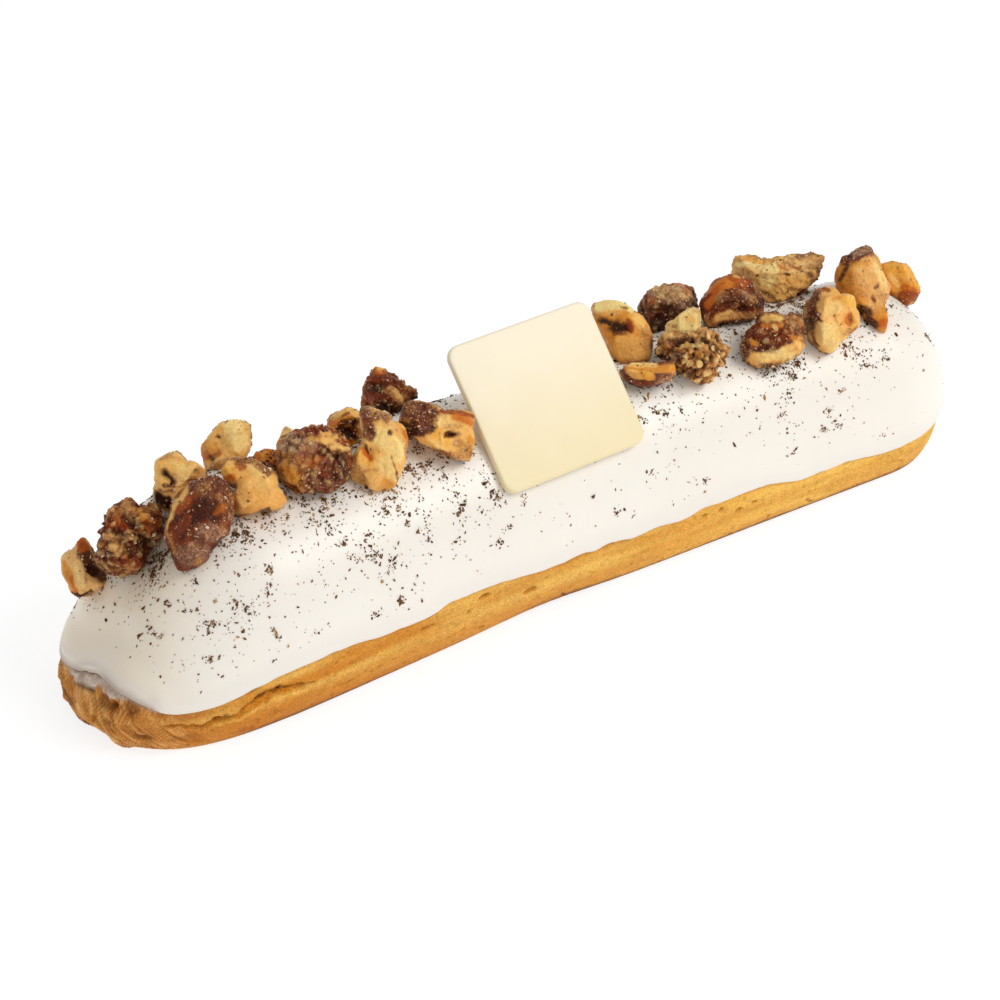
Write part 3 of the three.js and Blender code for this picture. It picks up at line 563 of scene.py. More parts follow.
# the flank moves along its normals by a sum of noises, pits, the burst seam, the torn end and the icing film;
# its colour is painted on in layers by the same masks
def makeChoux():
    look = chouxLook
    way = wayRound(*look["columns"])
    base, flank, crown, share = chouxGrid(way)
    edge, drop, fade = edgeHeight(way), filmDrop(way), runsOut(way)

    # masks in walk and height, so that they follow the bun round its ends
    height = flank[..., 2]
    walk = np.broadcast_to(way["walk"], height.shape)
    flat = np.stack([walk, height, 0 * height], -1)

    def noise(name):
        long, high, span, seed, layers = look["noises"][name]
        return layeredNoise(flat * (long, high, 1), span, seed, layers)

    end = ramp(way["broad"], *look["endStep"]) * np.ones_like(height)
    streaks, grains = noise("streaks") * fade, noise("grains") * fade
    distance, own = nearestGrain(flat * look["poreStretch"], look["poreSpan"], look["poreSeed"])
    pores = smoothStep(1 - distance / look["poreReach"]) * (own > look["poreFrom"]) * fade
    cracks = smoothStep(1 - np.abs(noise("cracks")) / look["crackWidth"])
    cracks = cracks * ramp(noise("crackPatches"), *look["crackStep"]) * fade
    pits, sunk, pitEdges = np.zeros_like(height), np.zeros_like(height), noise("pitEdges")
    for at, level, long, high, depth in look["pits"]:
        away = np.hypot((walk - at) / long, (height - level) / high) + look["pitWaver"] * pitEdges
        mask = fall(away, *look["pitStep"])
        pits, sunk = np.maximum(pits, mask), np.maximum(sunk, depth * mask)
    seamWalk, seamHeight, seamGape = np.array(look["burst"]).T
    seam = np.interp(walk, seamWalk, seamHeight) + look["seamWaver"] * noise("seam")
    gape = np.interp(walk, seamWalk, seamGape) * (1 + look["gapeWaver"] * noise("gape"))
    gape = np.maximum(look["leastGape"], gape)
    across = (height - seam) / gape  # -1 at the lower edge, 1 under the upper one
    burst = smoothStep(look["burstEdge"] * (1 - np.abs(across))) * smoothStep(gape / look["burstFrom"] - 0.5)
    steep = 0.4 + 0.6 * smoothStep(0.6 * (across + 1))  # deepest under the upper lip
    parted = smoothStep(gape / look["partedFrom"] - 0.5)
    lip = hump((across - 1) * gape / look["lipReach"]) * parted
    rim = hump((across - look["rimAt"]) * gape / look["rimReach"]) * parted
    slant = np.stack([walk + look["fibreSlant"] * height, look["fibreStretch"] * height, 0 * height], -1)
    fibres = 1 - 2.8 * np.abs(layeredNoise(slant, look["fibreSpan"], look["fibreSeed"], 2))
    flakes = brokenFacets(flat * look["flakeStretch"], look["flakeSpan"], look["flakeSeed"])
    cavity = ramp(noise("cavity"), *look["cavityStep"])
    hangs = smoothStep(drop / look["hangsFrom"])
    hem = edge - drop + look["hemWaver"] * noise("hem")
    film = ramp(height, hem, look["hemBlur"]) * hangs

    # relief, none where the flank meets the base and the icing
    settled = smoothStep(height / (look["settledFrom"] - end))
    settled = settled * smoothStep((1 - share) / look["settledShare"])
    relief = look["streakDepth"] * streaks + look["grainDepth"] * grains - look["poreDepth"] * pores
    relief = relief - look["crackDepth"] * cracks - sunk
    relief = relief - burst * (look["burstDepth"] * steep - 0.4 * grains) + look["burstLip"] * lip
    rough = look["flakeDepth"] * flakes + look["fibreDepth"] * fibres
    rough = rough - look["cavityDepth"] * cavity - look["endInset"]
    rough = rough + look["cragDepth"] * noise("crags") * fall(height, *look["cragStep"])
    relief = relief + end * rough * (1 - 0.6 * film) + look["filmDepth"] * film
    facing = gridNormals(flank)
    flank = flank + facing * (relief * settled)[..., None]

    # colour: light above and gold below with deeper streaks, brighter towards the slim end
    tone = smoothStep(0.55 + 0.8 * streaks + 0.4 * fade * noise("tone"))
    tone = tone * (0.25 + 0.75 * ramp(height, *look["lightStep"]))
    tint = painted(linear(look["gold"]), look["light"], tone)
    bright = look["brightShare"] * ramp(way["x"], *look["brightStep"]) * np.ones_like(height)
    tint = painted(tint, look["bright"], bright)
    low = look["deepShare"] * smoothStep(-2.2 * streaks) * fall(height, *look["deepStep"])
    tint = painted(tint, look["deep"], low + look["baseShare"] * smoothStep(1 - height / look["baseReach"]))
    rusty = hump((walk - look["rustWalk"]) / look["rustReach"]) * ramp(height - edge, *look["rustStep"])
    spot = look["spotShare"] * hump((walk - look["spotWalk"]) / look["spotLong"])
    spot = spot * hump((height - look["spotHeight"]) / look["spotHigh"])
    tint = painted(tint, look["rust"], look["rustShare"] * rusty + spot)
    # the torn end in its own browner colour, with painted shade of darker rust in the lows between fibres and
    # flakes
    crest = smoothStep(0.5 + 0.5 * fibres + 0.7 * flakes)
    tint = mixed(tint, painted(linear(look["rust"]), look["brown"], 0.3 + crest), look["endShare"] * end)
    tint = painted(tint, look["fibre"], look["fibreShare"] * end * smoothStep(2 * fibres - 0.8))
    tint = tint * (1 + 0.1 * grains)[..., None]
    tint = painted(tint, look["bright"], look["rimShare"] * rim)
    tint = painted(tint, look["floor"], np.maximum(burst * (0.85 + 0.5 * grains), 0.8 * pits))
    # painted shade in the pores, cracks and pits, in the burst's trench most under its upper lip, and in the
    # torn end's cavities
    hollow = 0.35 * pores + 0.6 * cracks + 0.35 * pits
    hollow = hollow + 0.85 * burst * smoothStep(2.2 * across + 0.75) + 0.8 * lip + 0.6 * end * cavity
    tint = painted(tint, look["pitShade"], hollow)

    # a painted shadow line in rust below the icing's lip, painted shade on the foot where the flank turns
    # down, and the dragged film with a painted shadow under its hem
    lipShadow = hump((edge - bun["lipDrop"] - height) / look["lipShadowReach"]) * (1 - hangs)
    lipShadow = look["lipShadowShare"] * lipShadow * smoothStep(0.6 + fade * noise("lipShadow"))
    tint = painted(tint, look["rust"], lipShadow)
    footShade = fall(facing[..., 2], *look["footShadeStep"]) * smoothStep(0.75 + 1.2 * fade * noise("footShade"))
    tint = painted(tint, look["pitShade"], look["footShadeShare"] * footShade)
    shadow = hump((height - hem + look["shadowDrop"]) / look["shadowReach"])
    shadow = shadow * hangs * smoothStep(0.6 + 1.5 * noise("shadow"))
    tint = mixed(tint, linear(look["pitShade"]) * look["shadowTone"], look["shadowShare"] * shadow)
    drag = smoothStep(0.5 + 0.9 * noise("drag"))
    dragged = painted(linear(look["filmDark"]), look["filmLight"], drag)
    tint = mixed(tint, dragged, look["filmShare"] * film)

    points = np.concatenate([base, flank, crown])
    plain = np.broadcast_to(linear(look["brown"]), base.shape)
    inside = np.broadcast_to(linear(look["light"]), crown.shape)
    tint = np.concatenate([plain, np.clip(tint, 0, 1), inside])
    faces, material = gridFaces(*points.shape[:2]), foodMaterial("bakedChoux", look)
    piece = makePiece("chouxCrust", points, faces, material, tint)
    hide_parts("choux")
    print("choux done,", len(piece.data.polygons), "faces")


makeChoux()

# icing: a smooth skin with a rolled lip, thicker at the broad end
icingLook = {
    "columns": (240, 120, 180), "outerRows": 46, "lipRows": 9, "innerRows": 8, "rowCrowding": 1.25,
    "ripple": 0.1, "lipRoll": 0.22, "endRoll": 0.55, "endDip": 0.5,
    "rollAt": (1.0, 1.1), "dipAt": (4.6, 2.2),  # height over the edge, and reach
    "edgeWaves": ((0.1, 5, 5), (0.14, 1.7, 15)),  # height, span, seed
    "rippleNoise": (17, 25, 2), "dragNoise": (0.5, 45, 2), "cloudNoise": (14, 35, 3),  # span, seed, layers
    "thinned": 0.9, "thinnedOver": 0.6, "endStep": (0.1, 0.6), "rippleFrom": 3, "ridgeFade": 0.12,
    # strengths of colour, and start and span of those that fall off over the edge
    "cloudShare": 0.4, "warmShare": 0.6, "hemShare": 0.5, "hemStep": (3.5, 3), "filmStep": (2.4, 2.2),
    "lipShadeShare": 0.9, "lipShadeStep": (0.5, 0.4),
    "white": (246, 240, 230), "shade": (238, 229, 215), "warm": (254, 234, 204), "film": (204, 190, 178),
    "hem": (234, 228, 220),
    "grainScale": 260, "grainTone": 0.02, "roughness": (0.3, 0.4), "bump": 0.06, "bumpHeight": 0.3,
    "specular": 0.45, "subsurface": 0.15, "subsurfaceRadius": (1, 0.8, 0.6), "subsurfaceDepth": 1.5,
    "coat": 0.1, "coatRoughness": 0.25,
}


# rows run down the inside, round a half-circle lip and up the outside to the ridge line
def makeIcing():
    look = icingLook
    way = wayRound(*look["columns"])
    walk = np.stack([way["walk"], 0 * way["walk"], 0 * way["walk"]], -1)
    waves = sum(high * layeredNoise(walk, span, seed, 2) for high, span, seed in look["edgeWaves"])
    # the lip thins out over the film
    bare = 1 - look["thinned"] * smoothStep(filmDrop(way) / look["thinnedOver"])
    edge = levelAt(way, edgeHeight(way) + runsOut(way) * waves)
    inner = np.linspace(1, 0, look["innerRows"])[:, None]
    inside = sectionPoint(way, edge + (1 - edge) * inner, bun["icing"])
    turn = np.linspace(0, math.pi, look["lipRows"] + 2)[1:-1, None]
    lip = sectionPoint(way, edge * np.ones_like(turn), bun["icing"] / 2 * (1 + np.cos(turn)))
    lip[..., 2] -= bun["lipDrop"] * bare * np.sin(turn)
    rise = np.linspace(0, 1, look["outerRows"])[:, None] ** look["rowCrowding"]
    outside = sectionPoint(way, edge + (1 - edge) * rise, 0)
    up = outside[..., 2] - outside[:1, :, 2]
    end = ramp(way["broad"], *look["endStep"])
    (rollAt, rollReach), (dipAt, dipReach) = look["rollAt"], look["dipAt"]
    roll = (look["lipRoll"] + look["endRoll"] * end) * bare * hump((up - rollAt) / rollReach)
    dip = look["endDip"] * end * hump((up - dipAt) / dipReach)
    ripple = look["ripple"] * layeredNoise(outside, *look["rippleNoise"])
    ripple = ripple * smoothStep(up / look["rippleFrom"])
    fade = smoothStep((1 - rise) / look["ridgeFade"])
    outside = outside + gridNormals(outside) * ((roll - dip + ripple) * fade)[..., None]
    points = np.concatenate([inside, lip, outside])

    # colour: white with faint clouds, warm at the broad end, grey where the film drags at the edge, and
    # painted shade on the lip over the film
    above = points[..., 2] - edgeHeight(way)
    dragged = np.stack([0.1 * way["walk"] + 0 * above, above, 0 * above], -1)
    drag = smoothStep(0.6 + layeredNoise(dragged, *look["dragNoise"]))
    cloud = smoothStep(0.5 + 0.8 * layeredNoise(points, *look["cloudNoise"]))
    tint = painted(linear(look["white"]), look["shade"], look["cloudShare"] * cloud)
    tint = painted(tint, look["warm"], look["warmShare"] * end)
    tint = painted(tint, look["hem"], look["hemShare"] * fall(above, *look["hemStep"]))
    tint = painted(tint, look["film"], drag * (1 - bare) * fall(above, *look["filmStep"]))
    # painted shade on the lip where it turns down over the film
    dark = look["lipShadeShare"] * (1 - bare) * fall(above, *look["lipShadeStep"])
    tint = painted(tint, chouxLook["filmDark"], dark)
    faces, material = gridFaces(*points.shape[:2]), foodMaterial("whiteIcing", look)
    piece = makePiece("icingSkin", points, faces, material, tint)
    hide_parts("icing")
    print("icing done,", len(piece.data.polygons), "faces")
    return outside, gridNormals(outside)


icingSurface = makeIcing()

# plaque: a thin bare plate of white chocolate, leaning over the front
plaqueLook = {
    "width": 23.4, "height": 21.5, "thickness": 1.1, "corner": 1.9, "edge": 0.4, "edgePower": 3.2,
    "along": -1.6, "lean": 47.5, "roll": 2.2, "overhang": 7.5, "sag": 0.12, "wave": 0.05,
    "waveNoise": (6, 9, 2), "touchSearch": (0, 14, 0.02),  # span, seed, layers; from, to, step across the bun
    "columns": 240, "faceRows": 22, "edgeRows": 13,
    "cream": (246, 234, 207), "deep": (240, 223, 178),
    "grainScale": 300, "grainTone": 0.03, "roughness": (0.36, 0.46), "bump": 0.08, "bumpHeight": 0.2,
    "specular": 0.4, "subsurface": 0.2, "subsurfaceRadius": (1, 0.8, 0.5), "subsurfaceDepth": 1.2,
}


# the plaque's frame: where the icing slopes as the plaque leans, then up by the overhang
def plaqueFrame():
    look = plaqueLook
    lean, roll = math.radians(look["lean"]), math.radians(look["roll"])
    across = -np.arange(*look["touchSearch"])
    slope = icingNormal(np.full_like(across, look["along"]), across)[:, 1]
    touch = across[np.argmax(slope <= -math.sin(lean))]
    ahead = np.array([1.0, 0, 0])
    normal = np.array([0, -math.sin(lean), math.cos(lean)])
    upward = np.array([0, math.cos(lean), math.sin(lean)])
    middle = np.array([look["along"], touch, icingHeight(np.array(look["along"]), np.array(touch))])
    middle = middle + upward * look["overhang"] + normal * bun["gap"]
    wide = ahead * math.cos(roll) + upward * math.sin(roll)
    high = upward * math.cos(roll) - ahead * math.sin(roll)
    return middle, wide, high, normal


# an even walk round a rounded square, four arcs joined by straight runs: its points and the ways they face
def plaqueOutline():
    look = plaqueLook
    corner, columns = look["corner"], look["columns"]
    halfX, halfY = look["width"] / 2 - corner, look["height"] / 2 - corner
    arc = corner * math.pi / 2
    stretches = [arc, 2 * halfX, arc, 2 * halfY] * 2
    walk = np.linspace(0, sum(stretches), columns, endpoint=False)[:, None]
    outline, facing = np.zeros((columns, 2)), np.zeros((columns, 2))
    start = 0
    centres = ((halfX, halfY), (-halfX, halfY), (-halfX, -halfY), (halfX, -halfY))
    for quarter, (centre, run) in enumerate(zip(np.array(centres), stretches[1::2])):
        bend = math.radians(90 * quarter) + (walk - start) / corner
        direction = np.concatenate([np.cos(bend), np.sin(bend)], -1)
        inArc = (walk >= start) & (walk < start + arc)
        outline = np.where(inArc, centre + corner * direction, outline)
        facing = np.where(inArc, direction, facing)
        square = math.radians(90 * (quarter + 1))
        out = np.array([math.cos(square), math.sin(square)])
        ahead = np.array([-out[1], out[0]])
        onRun = (walk >= start + arc) & (walk < start + arc + run)
        outline = np.where(onRun, centre + corner * out + ahead * (walk - start - arc), outline)
        facing = np.where(onRun, out, facing)
        start += arc + run
    return outline, facing


# rings of the outline: out over the back, round the edge on a superellipse, in over the front
def makePlaque():
    look = plaqueLook
    middle, wide, high, normal = plaqueFrame()
    outline, facing = plaqueOutline()
    columns, half, roundness = look["columns"], look["thickness"] / 2, 2 / look["edgePower"]
    bend = np.linspace(-math.pi / 2, math.pi / 2, look["edgeRows"])[:, None]
    inset = look["edge"] * (1 - np.maximum(0, np.cos(bend)) ** roundness)
    depth = half * np.sign(np.sin(bend)) * np.abs(np.sin(bend)) ** roundness
    rim = outline - facing * inset[..., None]
    shrink = np.linspace(0, 1, look["faceRows"])[:, None, None]
    flat = np.concatenate([(rim[:1] * shrink)[:-1], rim, (rim[-1:] * shrink[::-1])[1:]])
    faceLevel = np.full((look["faceRows"] - 1, columns), half)
    level = np.concatenate([-faceLevel, depth * np.ones(columns), faceLevel])
    bow = -look["sag"] * ((flat[..., 0] / look["width"]) ** 2 + (flat[..., 1] / look["height"]) ** 2) * 4
    plane = np.concatenate([flat, 0 * level[..., None]], -1)
    wave = look["wave"] * layeredNoise(plane, *look["waveNoise"])
    level = level + half + bow * 0.5 + wave
    points = middle + flat[..., :1] * wide + flat[..., 1:] * high + level[..., None] * normal
    low = smoothStep(0.5 - flat[..., 1] / look["height"])
    tint = painted(linear(look["cream"]), look["deep"], low)
    faces, material = gridFaces(*points.shape[:2]), foodMaterial("whiteChocolate", look)
    piece = makePiece("plaquePlate", points, faces, material, tint)
    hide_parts("plaque")
    print("plaque done,", len(piece.data.polygons), "faces")


makePlaque()

# nuts: chopped and sugared pieces; marks and dents stand at (right, up) places of the nut as the photo sees
# it, in percent of its own reach
nutLook = {
    "columns": 150, "rows": 96, "fullness": 0.8, "cutSharpness": 60, "partSharpness": 60, "partingReach": 1.4,
    "knobCount": 16, "knobSharpness": 9, "chipCount": 6, "chipTilt": 0.9, "chipShare": 0.88, "chipTurn": 0.65,
    "splits": 16, "splitShare": (0.82, 0.97), "splitTilt": (0.3, 2), "skinnedFrom": 0.9, "splitSeed": 40,
    "facetSpan": 2.4, "facetSlope": 0.1, "crustSpan": 0.75, "crustGrain": 0.26, "lumpSpan": 1.5, "lumps": 0.3,
    "crumbSpan": 0.88, "crumbRise": 0.85, "fleshGrain": 0.08, "sugaredFrom": 0.6, "clearance": 0.05,
    "markSeed": 50, "noiseShift": 17.3, "facetSeed": 90, "crustSeed": 7, "lumpSeed": 17, "crumbSeed": 27,
    "seenStep": (-0.35, 0.4), "wildStep": (-0.05, 0.25), "wildShare": 0.9, "skinShare": 0.6,
    # span in mm, seed, layers
    "noises": {"mottleAndShading": (2.2, 64, 4), "wild": (3.4, 70, 2), "skin": (1.6, 71, 2), "flesh": (0.8, 34, 3),
               "crumb": (0.5, 28, 2)},
    # every colour with the one it falls to and the one it rises to, by a random mottle, by painted shade in
    # hollows and on faces turned down, and by painted light on crests and faces turned up
    "colours": {
        "cream": ((246, 188, 104), "honey", "pale"), "peach": ((244, 190, 120), "honey", "pale"),
        "pale": ((255, 222, 144), "cream", "pale"), "gold": ((242, 178, 72), "amber", "pale"),
        "honey": ((224, 148, 54), "amber", "cream"), "amber": ((204, 100, 14), "rust", "honey"),
        "rust": ((152, 60, 12), "umber", "amber"), "tan": ((210, 144, 78), "skin", "peach"),
        "skin": ((126, 52, 14), "dark", "rust"), "umber": ((104, 48, 16), "dark", "skin"),
        "plum": ((132, 72, 46), "dark", "tan"), "bloom": ((190, 144, 114), "plum", "peach"),
        "dark": ((62, 26, 12), "dark", "umber"),
    },
    "sugar": (236, 200, 164), "sugarScale": 2100, "sugarHeight": 2.5,
    # sugar crust on a mark of a colour, and how far the mark stands out in mm
    "crusty": {"plum": (0.9, 0.14), "bloom": (0.9, 0.14), "tan": (0.45, 0), "skin": (0.5, -0.05),
               "umber": (0.45, -0.12), "dark": (0.2, -0.4), "rust": (0.2, 0)},
    "grainScale": 2300, "grainTone": 0.45, "roughness": (0.45, 0.4), "roughnessFrom": "crust",
    "bump": 0.65, "bumpHeight": 0.3, "specular": 0.1, "coat": 0.14, "coatRoughness": 0.1, "topLightTone": 0.45,
    "subsurface": 0.25, "subsurfaceRadius": (1, 0.5, 0.22), "subsurfaceDepth": 1.4,
}

# middle, half depth along the sight, body colour, sugar crust from 0 to 1, outline as radii every 22.5
# degrees from the right, cut faces as tilts right and up with their distance, dents and bumps as (right, up,
# width, height in mm), marks as (colour, right, up, to right, to up, width, strength); knobs is the share
# drawn in between knobs, crumbly goes from 0 to 1, and dusted is times the usual dust
# the dark marks, and some tan ones low on a nut, are painted shade in its hollows and under its parts as well
# as its own darker skin
nuts = [
    {"middle": (-65.9, 6.5, 18), "depth": 3.3, "body": "peach", "crust": 0.1,
     "outline": (3, 2.6, 2.5, 2.8, 4.4, 3.1, 3.3, 3.2, 2.8, 2.6, 2.6, 3.4, 3.5, 3.1, 3.2, 3.4),
     "faces": [(-0.5, 0.1, 2.2), (0.9, 0.3, 2.4)],
     "dents": [(50, 10, 30, -0.5), (-45, -10, 20, -0.3)],
     "marks": [("honey", -75, 25, -20, -75, 14, 85), ("amber", -45, -20, -15, -65, 7, 70),
               ("pale", -20, 10, 10, -40, 12, 50), ("umber", 5, 60, 60, 0, 20, 95),
               ("dark", 50, 10, 95, -20, 20, 90), ("amber", -15, 95, 10, 65, 15, 100),
               ("umber", -40, -70, 0, -80, 8, 95), ("dark", 0, -80, 40, -65, 7, 90)]},
    {"middle": (-61.2, 1.9, 24.1), "depth": 4.6, "body": "skin", "crust": 0.8, "knobs": 0.28, "crumbly": 0.6,
     "outline": (3.9, 4.6, 5.5, 3.9, 4.7, 4.3, 4, 3.3, 3.3, 3.9, 4.9, 5, 4.9, 4.1, 2.8, 2.6),
     "dents": [(30, 40, 22, -0.9), (65, -25, 22, -0.7), (-50, 45, 30, -0.4), (0, 75, 20, 0.4)],
     "marks": [("tan", -5, 90, 15, 60, 16, 70), ("rust", -50, 75, -20, 50, 16, 60),
               ("tan", -40, -5, 0, -30, 20, 85), ("peach", -30, -20, -10, -30, 10, 60),
               ("tan", 25, 15, 60, 0, 14, 60), ("amber", 60, 50, 80, 30, 17, 60),
               ("honey", 45, 65, 60, 60, 10, 60), ("amber", -55, 30, -20, 40, 14, 35),
               ("rust", 10, -60, 40, -65, 14, 80), ("dark", 15, 50, 50, 35, 11, 95),
               ("dark", 55, -5, 80, -40, 16, 95), ("dark", 5, -10, 20, -50, 6, 80),
               ("dark", -20, 12, 10, 5, 5, 70), ("tan", -30, -75, 20, -85, 13, 50)]},
    {"middle": (-53.2, 3.4, 28.9), "depth": 3.8, "body": "cream", "crust": 0,
     "outline": (3.4, 4, 3.6, 3, 3.8, 3.8, 3.8, 2.8, 2.6, 3.1, 4.2, 4.2, 3.6, 3, 2.8, 3),
     "faces": [(0, 0.5, 2.8), (-0.9, 0, 2.8)],
     "dents": [(-25, 15, 20, -0.9), (-45, -70, 30, -0.7), (30, 0, 30, -0.3)],
     "marks": [("pale", -70, 70, -70, -10, 12, 50), ("honey", -40, 85, 60, 65, 7, 60),
               ("tan", 5, 10, 40, -5, 16, 60), ("dark", -33, 30, -10, 5, 16, 100),
               ("umber", -35, -12, 0, -15, 8, 90), ("tan", -50, -35, 0, -30, 9, 70),
               ("dark", -70, -65, -25, -75, 27, 100), ("skin", 65, 0, 100, -20, 14, 80),
               ("umber", 75, 40, 80, 30, 4, 80)]},
    {"middle": (-54.6, -5.9, 28.6), "depth": 3.8, "body": "skin", "crust": 0.4,
     "outline": (4, 4.7, 6.1, 5.9, 5.1, 4.5, 4.2, 3.8, 4.2, 4.6, 5, 6.8, 5.7, 4.1, 3.5, 3.9),
     "faces": [(-1.1, 0.1, 3.2), (0.3, -0.5, 3.4)],
     "dents": [(-10, 15, 30, -0.4), (50, -55, 30, -0.4)],
     "marks": [("dark", -40, 0, 40, 30, 32, 90), ("rust", -55, 20, -25, 45, 10, 90),
               ("rust", -65, -25, -30, 0, 14, 60), ("plum", -5, 85, 70, 65, 25, 95),
               ("plum", 75, 50, 85, 15, 14, 90), ("amber", 60, 15, 75, 30, 7, 50),
               ("bloom", 20, -25, 60, -30, 18, 60), ("bloom", -35, -70, 15, -60, 20, 55),
               ("umber", -10, -30, 10, -40, 12, 70), ("cream", -35, 60, -65, 30, 8, 95),
               ("cream", -70, 25, -95, -15, 5.5, 95), ("tan", -90, -20, -60, -65, 5, 70),
               ("tan", -2, -85, 5, -78, 6, 80)]},
    {"middle": (-43.5, 8.3, 28.4), "depth": 3.1, "body": "cream", "crust": 0,
     "outline": (3.1, 3.3, 4.2, 3.9, 3.6, 3, 2.7, 2.8, 3.3, 3.4, 4, 4.3, 4.1, 3.6, 2.9, 2.9),
     "faces": [(-0.1, 0.1, 2.2), (1, 0.2, 2.6)],
     "dents": [(-55, -38, 16, -0.6), (35, 40, 40, 0.2), (-10, 10, 20, -0.25)],
     "marks": [("pale", 30, 70, 60, 20, 33, 80), ("honey", -80, 0, -35, -10, 20, 70),
               ("amber", -90, -35, -75, -25, 12, 85), ("rust", -50, -35, -20, -20, 12, 65),
               ("umber", -60, -35, -52, -42, 9, 100), ("tan", -50, -75, 10, -60, 20, 80),
               ("rust", -72, 50, -45, 75, 5, 85), ("umber", -8, 90, 5, 82, 5, 80),
               ("umber", -28, 33, -20, 28, 5, 90)]},
    {"middle": (-46.3, -4.7, 30.1), "depth": 4.2, "body": "cream", "crust": 0,
     "outline": (3.1, 3.1, 3.1, 3, 3.3, 4.1, 4.5, 4.4, 2.3, 2.6, 3.4, 4.4, 3.2, 3, 4.2, 4.8),
     "faces": [(0.1, 0, 2.9), (0, 1, 3)],
     "dents": [(30, 20, 30, -0.3), (-45, 5, 20, -0.5), (10, -40, 30, 0.3)],
     "marks": [("pale", 30, 10, 65, -20, 28, 35), ("honey", 0, 0, 50, -50, 50, 45),
               ("honey", -40, 50, -10, 40, 16, 75), ("gold", -85, 60, -70, 35, 14, 100),
               ("amber", -78, 22, -50, 35, 10, 95), ("rust", -40, 75, -20, 60, 9, 80),
               ("plum", -55, 88, 10, 75, 8, 85), ("plum", 15, 70, 50, 45, 8, 90),
               ("honey", -40, -60, -10, -80, 15, 50), ("umber", -50, -95, -10, -86, 5, 85),
               ("umber", 20, -82, 50, -70, 5.5, 90), ("tan", 50, -78, 90, -68, 5, 70),
               ("tan", -50, -10, -30, -20, 10, 60), ("umber", 38, 32, 40, 30, 4, 80)]},
    {"middle": (-40.8, 1.5, 29), "depth": 1.8, "body": "amber", "crust": 0.1,
     "outline": (1.7, 1.5, 1.5, 1.3, 1.4, 1.5, 1.5, 2, 1.8, 1.5, 1.3, 1.3, 1.3, 1.6, 1.7, 1.7),
     "faces": [(0, 0.3, 1.2)],
     "marks": [("gold", -30, 50, -10, 60, 20, 60), ("honey", -20, 10, 40, 20, 28, 60),
               ("skin", 40, 50, 70, 20, 15, 60), ("plum", -80, -40, 60, -60, 28, 80),
               ("dark", 0, -10, 2, -10, 8, 90), ("dark", 50, -15, 52, -15, 10, 90)]},
    {"middle": (-37.2, -4.6, 30.9), "depth": 4.7, "body": "rust", "crust": 1, "knobs": 0.22, "crumbly": 0.5,
     "outline": (4.7, 4.8, 4.2, 4.5, 4.2, 4.2, 4.4, 4.4, 4.6, 5, 4.8, 4.4, 3.5, 4.3, 4.4, 4.9),
     "dents": [(55, 15, 28, -0.7), (-30, 50, 30, 0.3), (0, -10, 40, 0.4)],
     "marks": [("plum", -20, 50, 40, 30, 15, 80), ("tan", -60, 20, -10, -10, 38, 90),
               ("bloom", -70, 55, -20, 35, 28, 95), ("gold", -70, -20, -50, -50, 20, 60),
               ("rust", -10, 15, 50, -20, 25, 60), ("plum", 10, -40, 60, -35, 34, 80),
               ("gold", -50, -60, -60, -40, 20, 50), ("amber", 0, -10, 15, 0, 10, 60),
               ("umber", 30, 35, 80, 15, 18, 90), ("dark", 75, 10, 90, -40, 15, 90),
               ("umber", 55, -50, 80, -30, 12, 80), ("rust", 20, -20, 40, -50, 9, 50),
               ("plum", -10, -70, 40, -70, 20, 60), ("cream", 0, 60, 50, 60, 11, 95),
               ("cream", 55, 45, 90, 35, 8, 95), ("cream", 25, 80, 40, 75, 8, 95)]},
    {"middle": (-28.5, 2.3, 29.5), "depth": 2.9, "body": "honey", "crust": 0.1,
     "outline": (2.2, 2.3, 2.6, 2.6, 2.6, 2.3, 2.4, 2.8, 3, 2.2, 1.9, 2, 3, 2.9, 2.7, 2.3),
     "faces": [(0.2, 0, 2)],
     "dents": [(15, -25, 50, -1.2)],
     "marks": [("cream", -60, 45, -20, 75, 16, 85), ("cream", 20, 80, 50, 60, 15, 90),
               ("umber", -20, 50, 10, 65, 7, 70), ("amber", -70, 20, -30, 15, 12, 85),
               ("umber", -20, 20, 50, 30, 15, 90), ("dark", -20, -20, 40, -40, 34, 100),
               ("dark", 50, 20, 40, -20, 20, 95), ("rust", 30, -5, 50, -30, 9, 60)]},
    {"middle": (-28.4, -6.1, 30), "depth": 3.8, "body": "cream", "crust": 0,
     "outline": (3.5, 3.9, 4.5, 4.5, 5.5, 6.2, 3.1, 2.7, 3.2, 4, 5.2, 4.8, 5.3, 4.9, 3.9, 3.6),
     "faces": [(0.1, -0.1, 2.6), (-0.5, 0.8, 4.2)],
     "dents": [(-38, -2, 18, -0.5), (20, 30, 30, 0.2), (-50, -50, 25, -0.4)],
     "marks": [("pale", 0, 30, 60, 0, 25, 80), ("pale", 20, -30, 50, -50, 20, 60),
               ("tan", -90, -30, -60, -70, 22, 60), ("tan", -60, -45, 0, -40, 5, 60),
               ("honey", 50, 75, 90, 40, 7, 85), ("amber", 85, 45, 95, 20, 5, 80),
               ("plum", -48, 85, -30, 45, 21, 100), ("plum", -10, 80, 30, 75, 10, 85),
               ("rust", -50, 60, -20, 75, 7, 50), ("gold", -60, -5, -30, -25, 13, 70),
               ("amber", -52, 5, -30, -15, 8, 95), ("umber", -45, 15, -35, -3, 4.5, 95),
               ("umber", 32, 42, 40, 40, 5, 95), ("tan", 95, 10, 100, -10, 8, 80),
               ("umber", 40, -10, 60, -45, 2, 80), ("umber", 60, -50, 65, -65, 4, 95),
               ("honey", 20, -75, 60, -85, 14, 75), ("umber", 10, -90, 20, -88, 3.5, 80)]},
    {"middle": (-17.7, 10.4, 27.3), "depth": 4, "body": "skin", "crust": 0.7, "knobs": 0.16, "crumbly": 0.4,
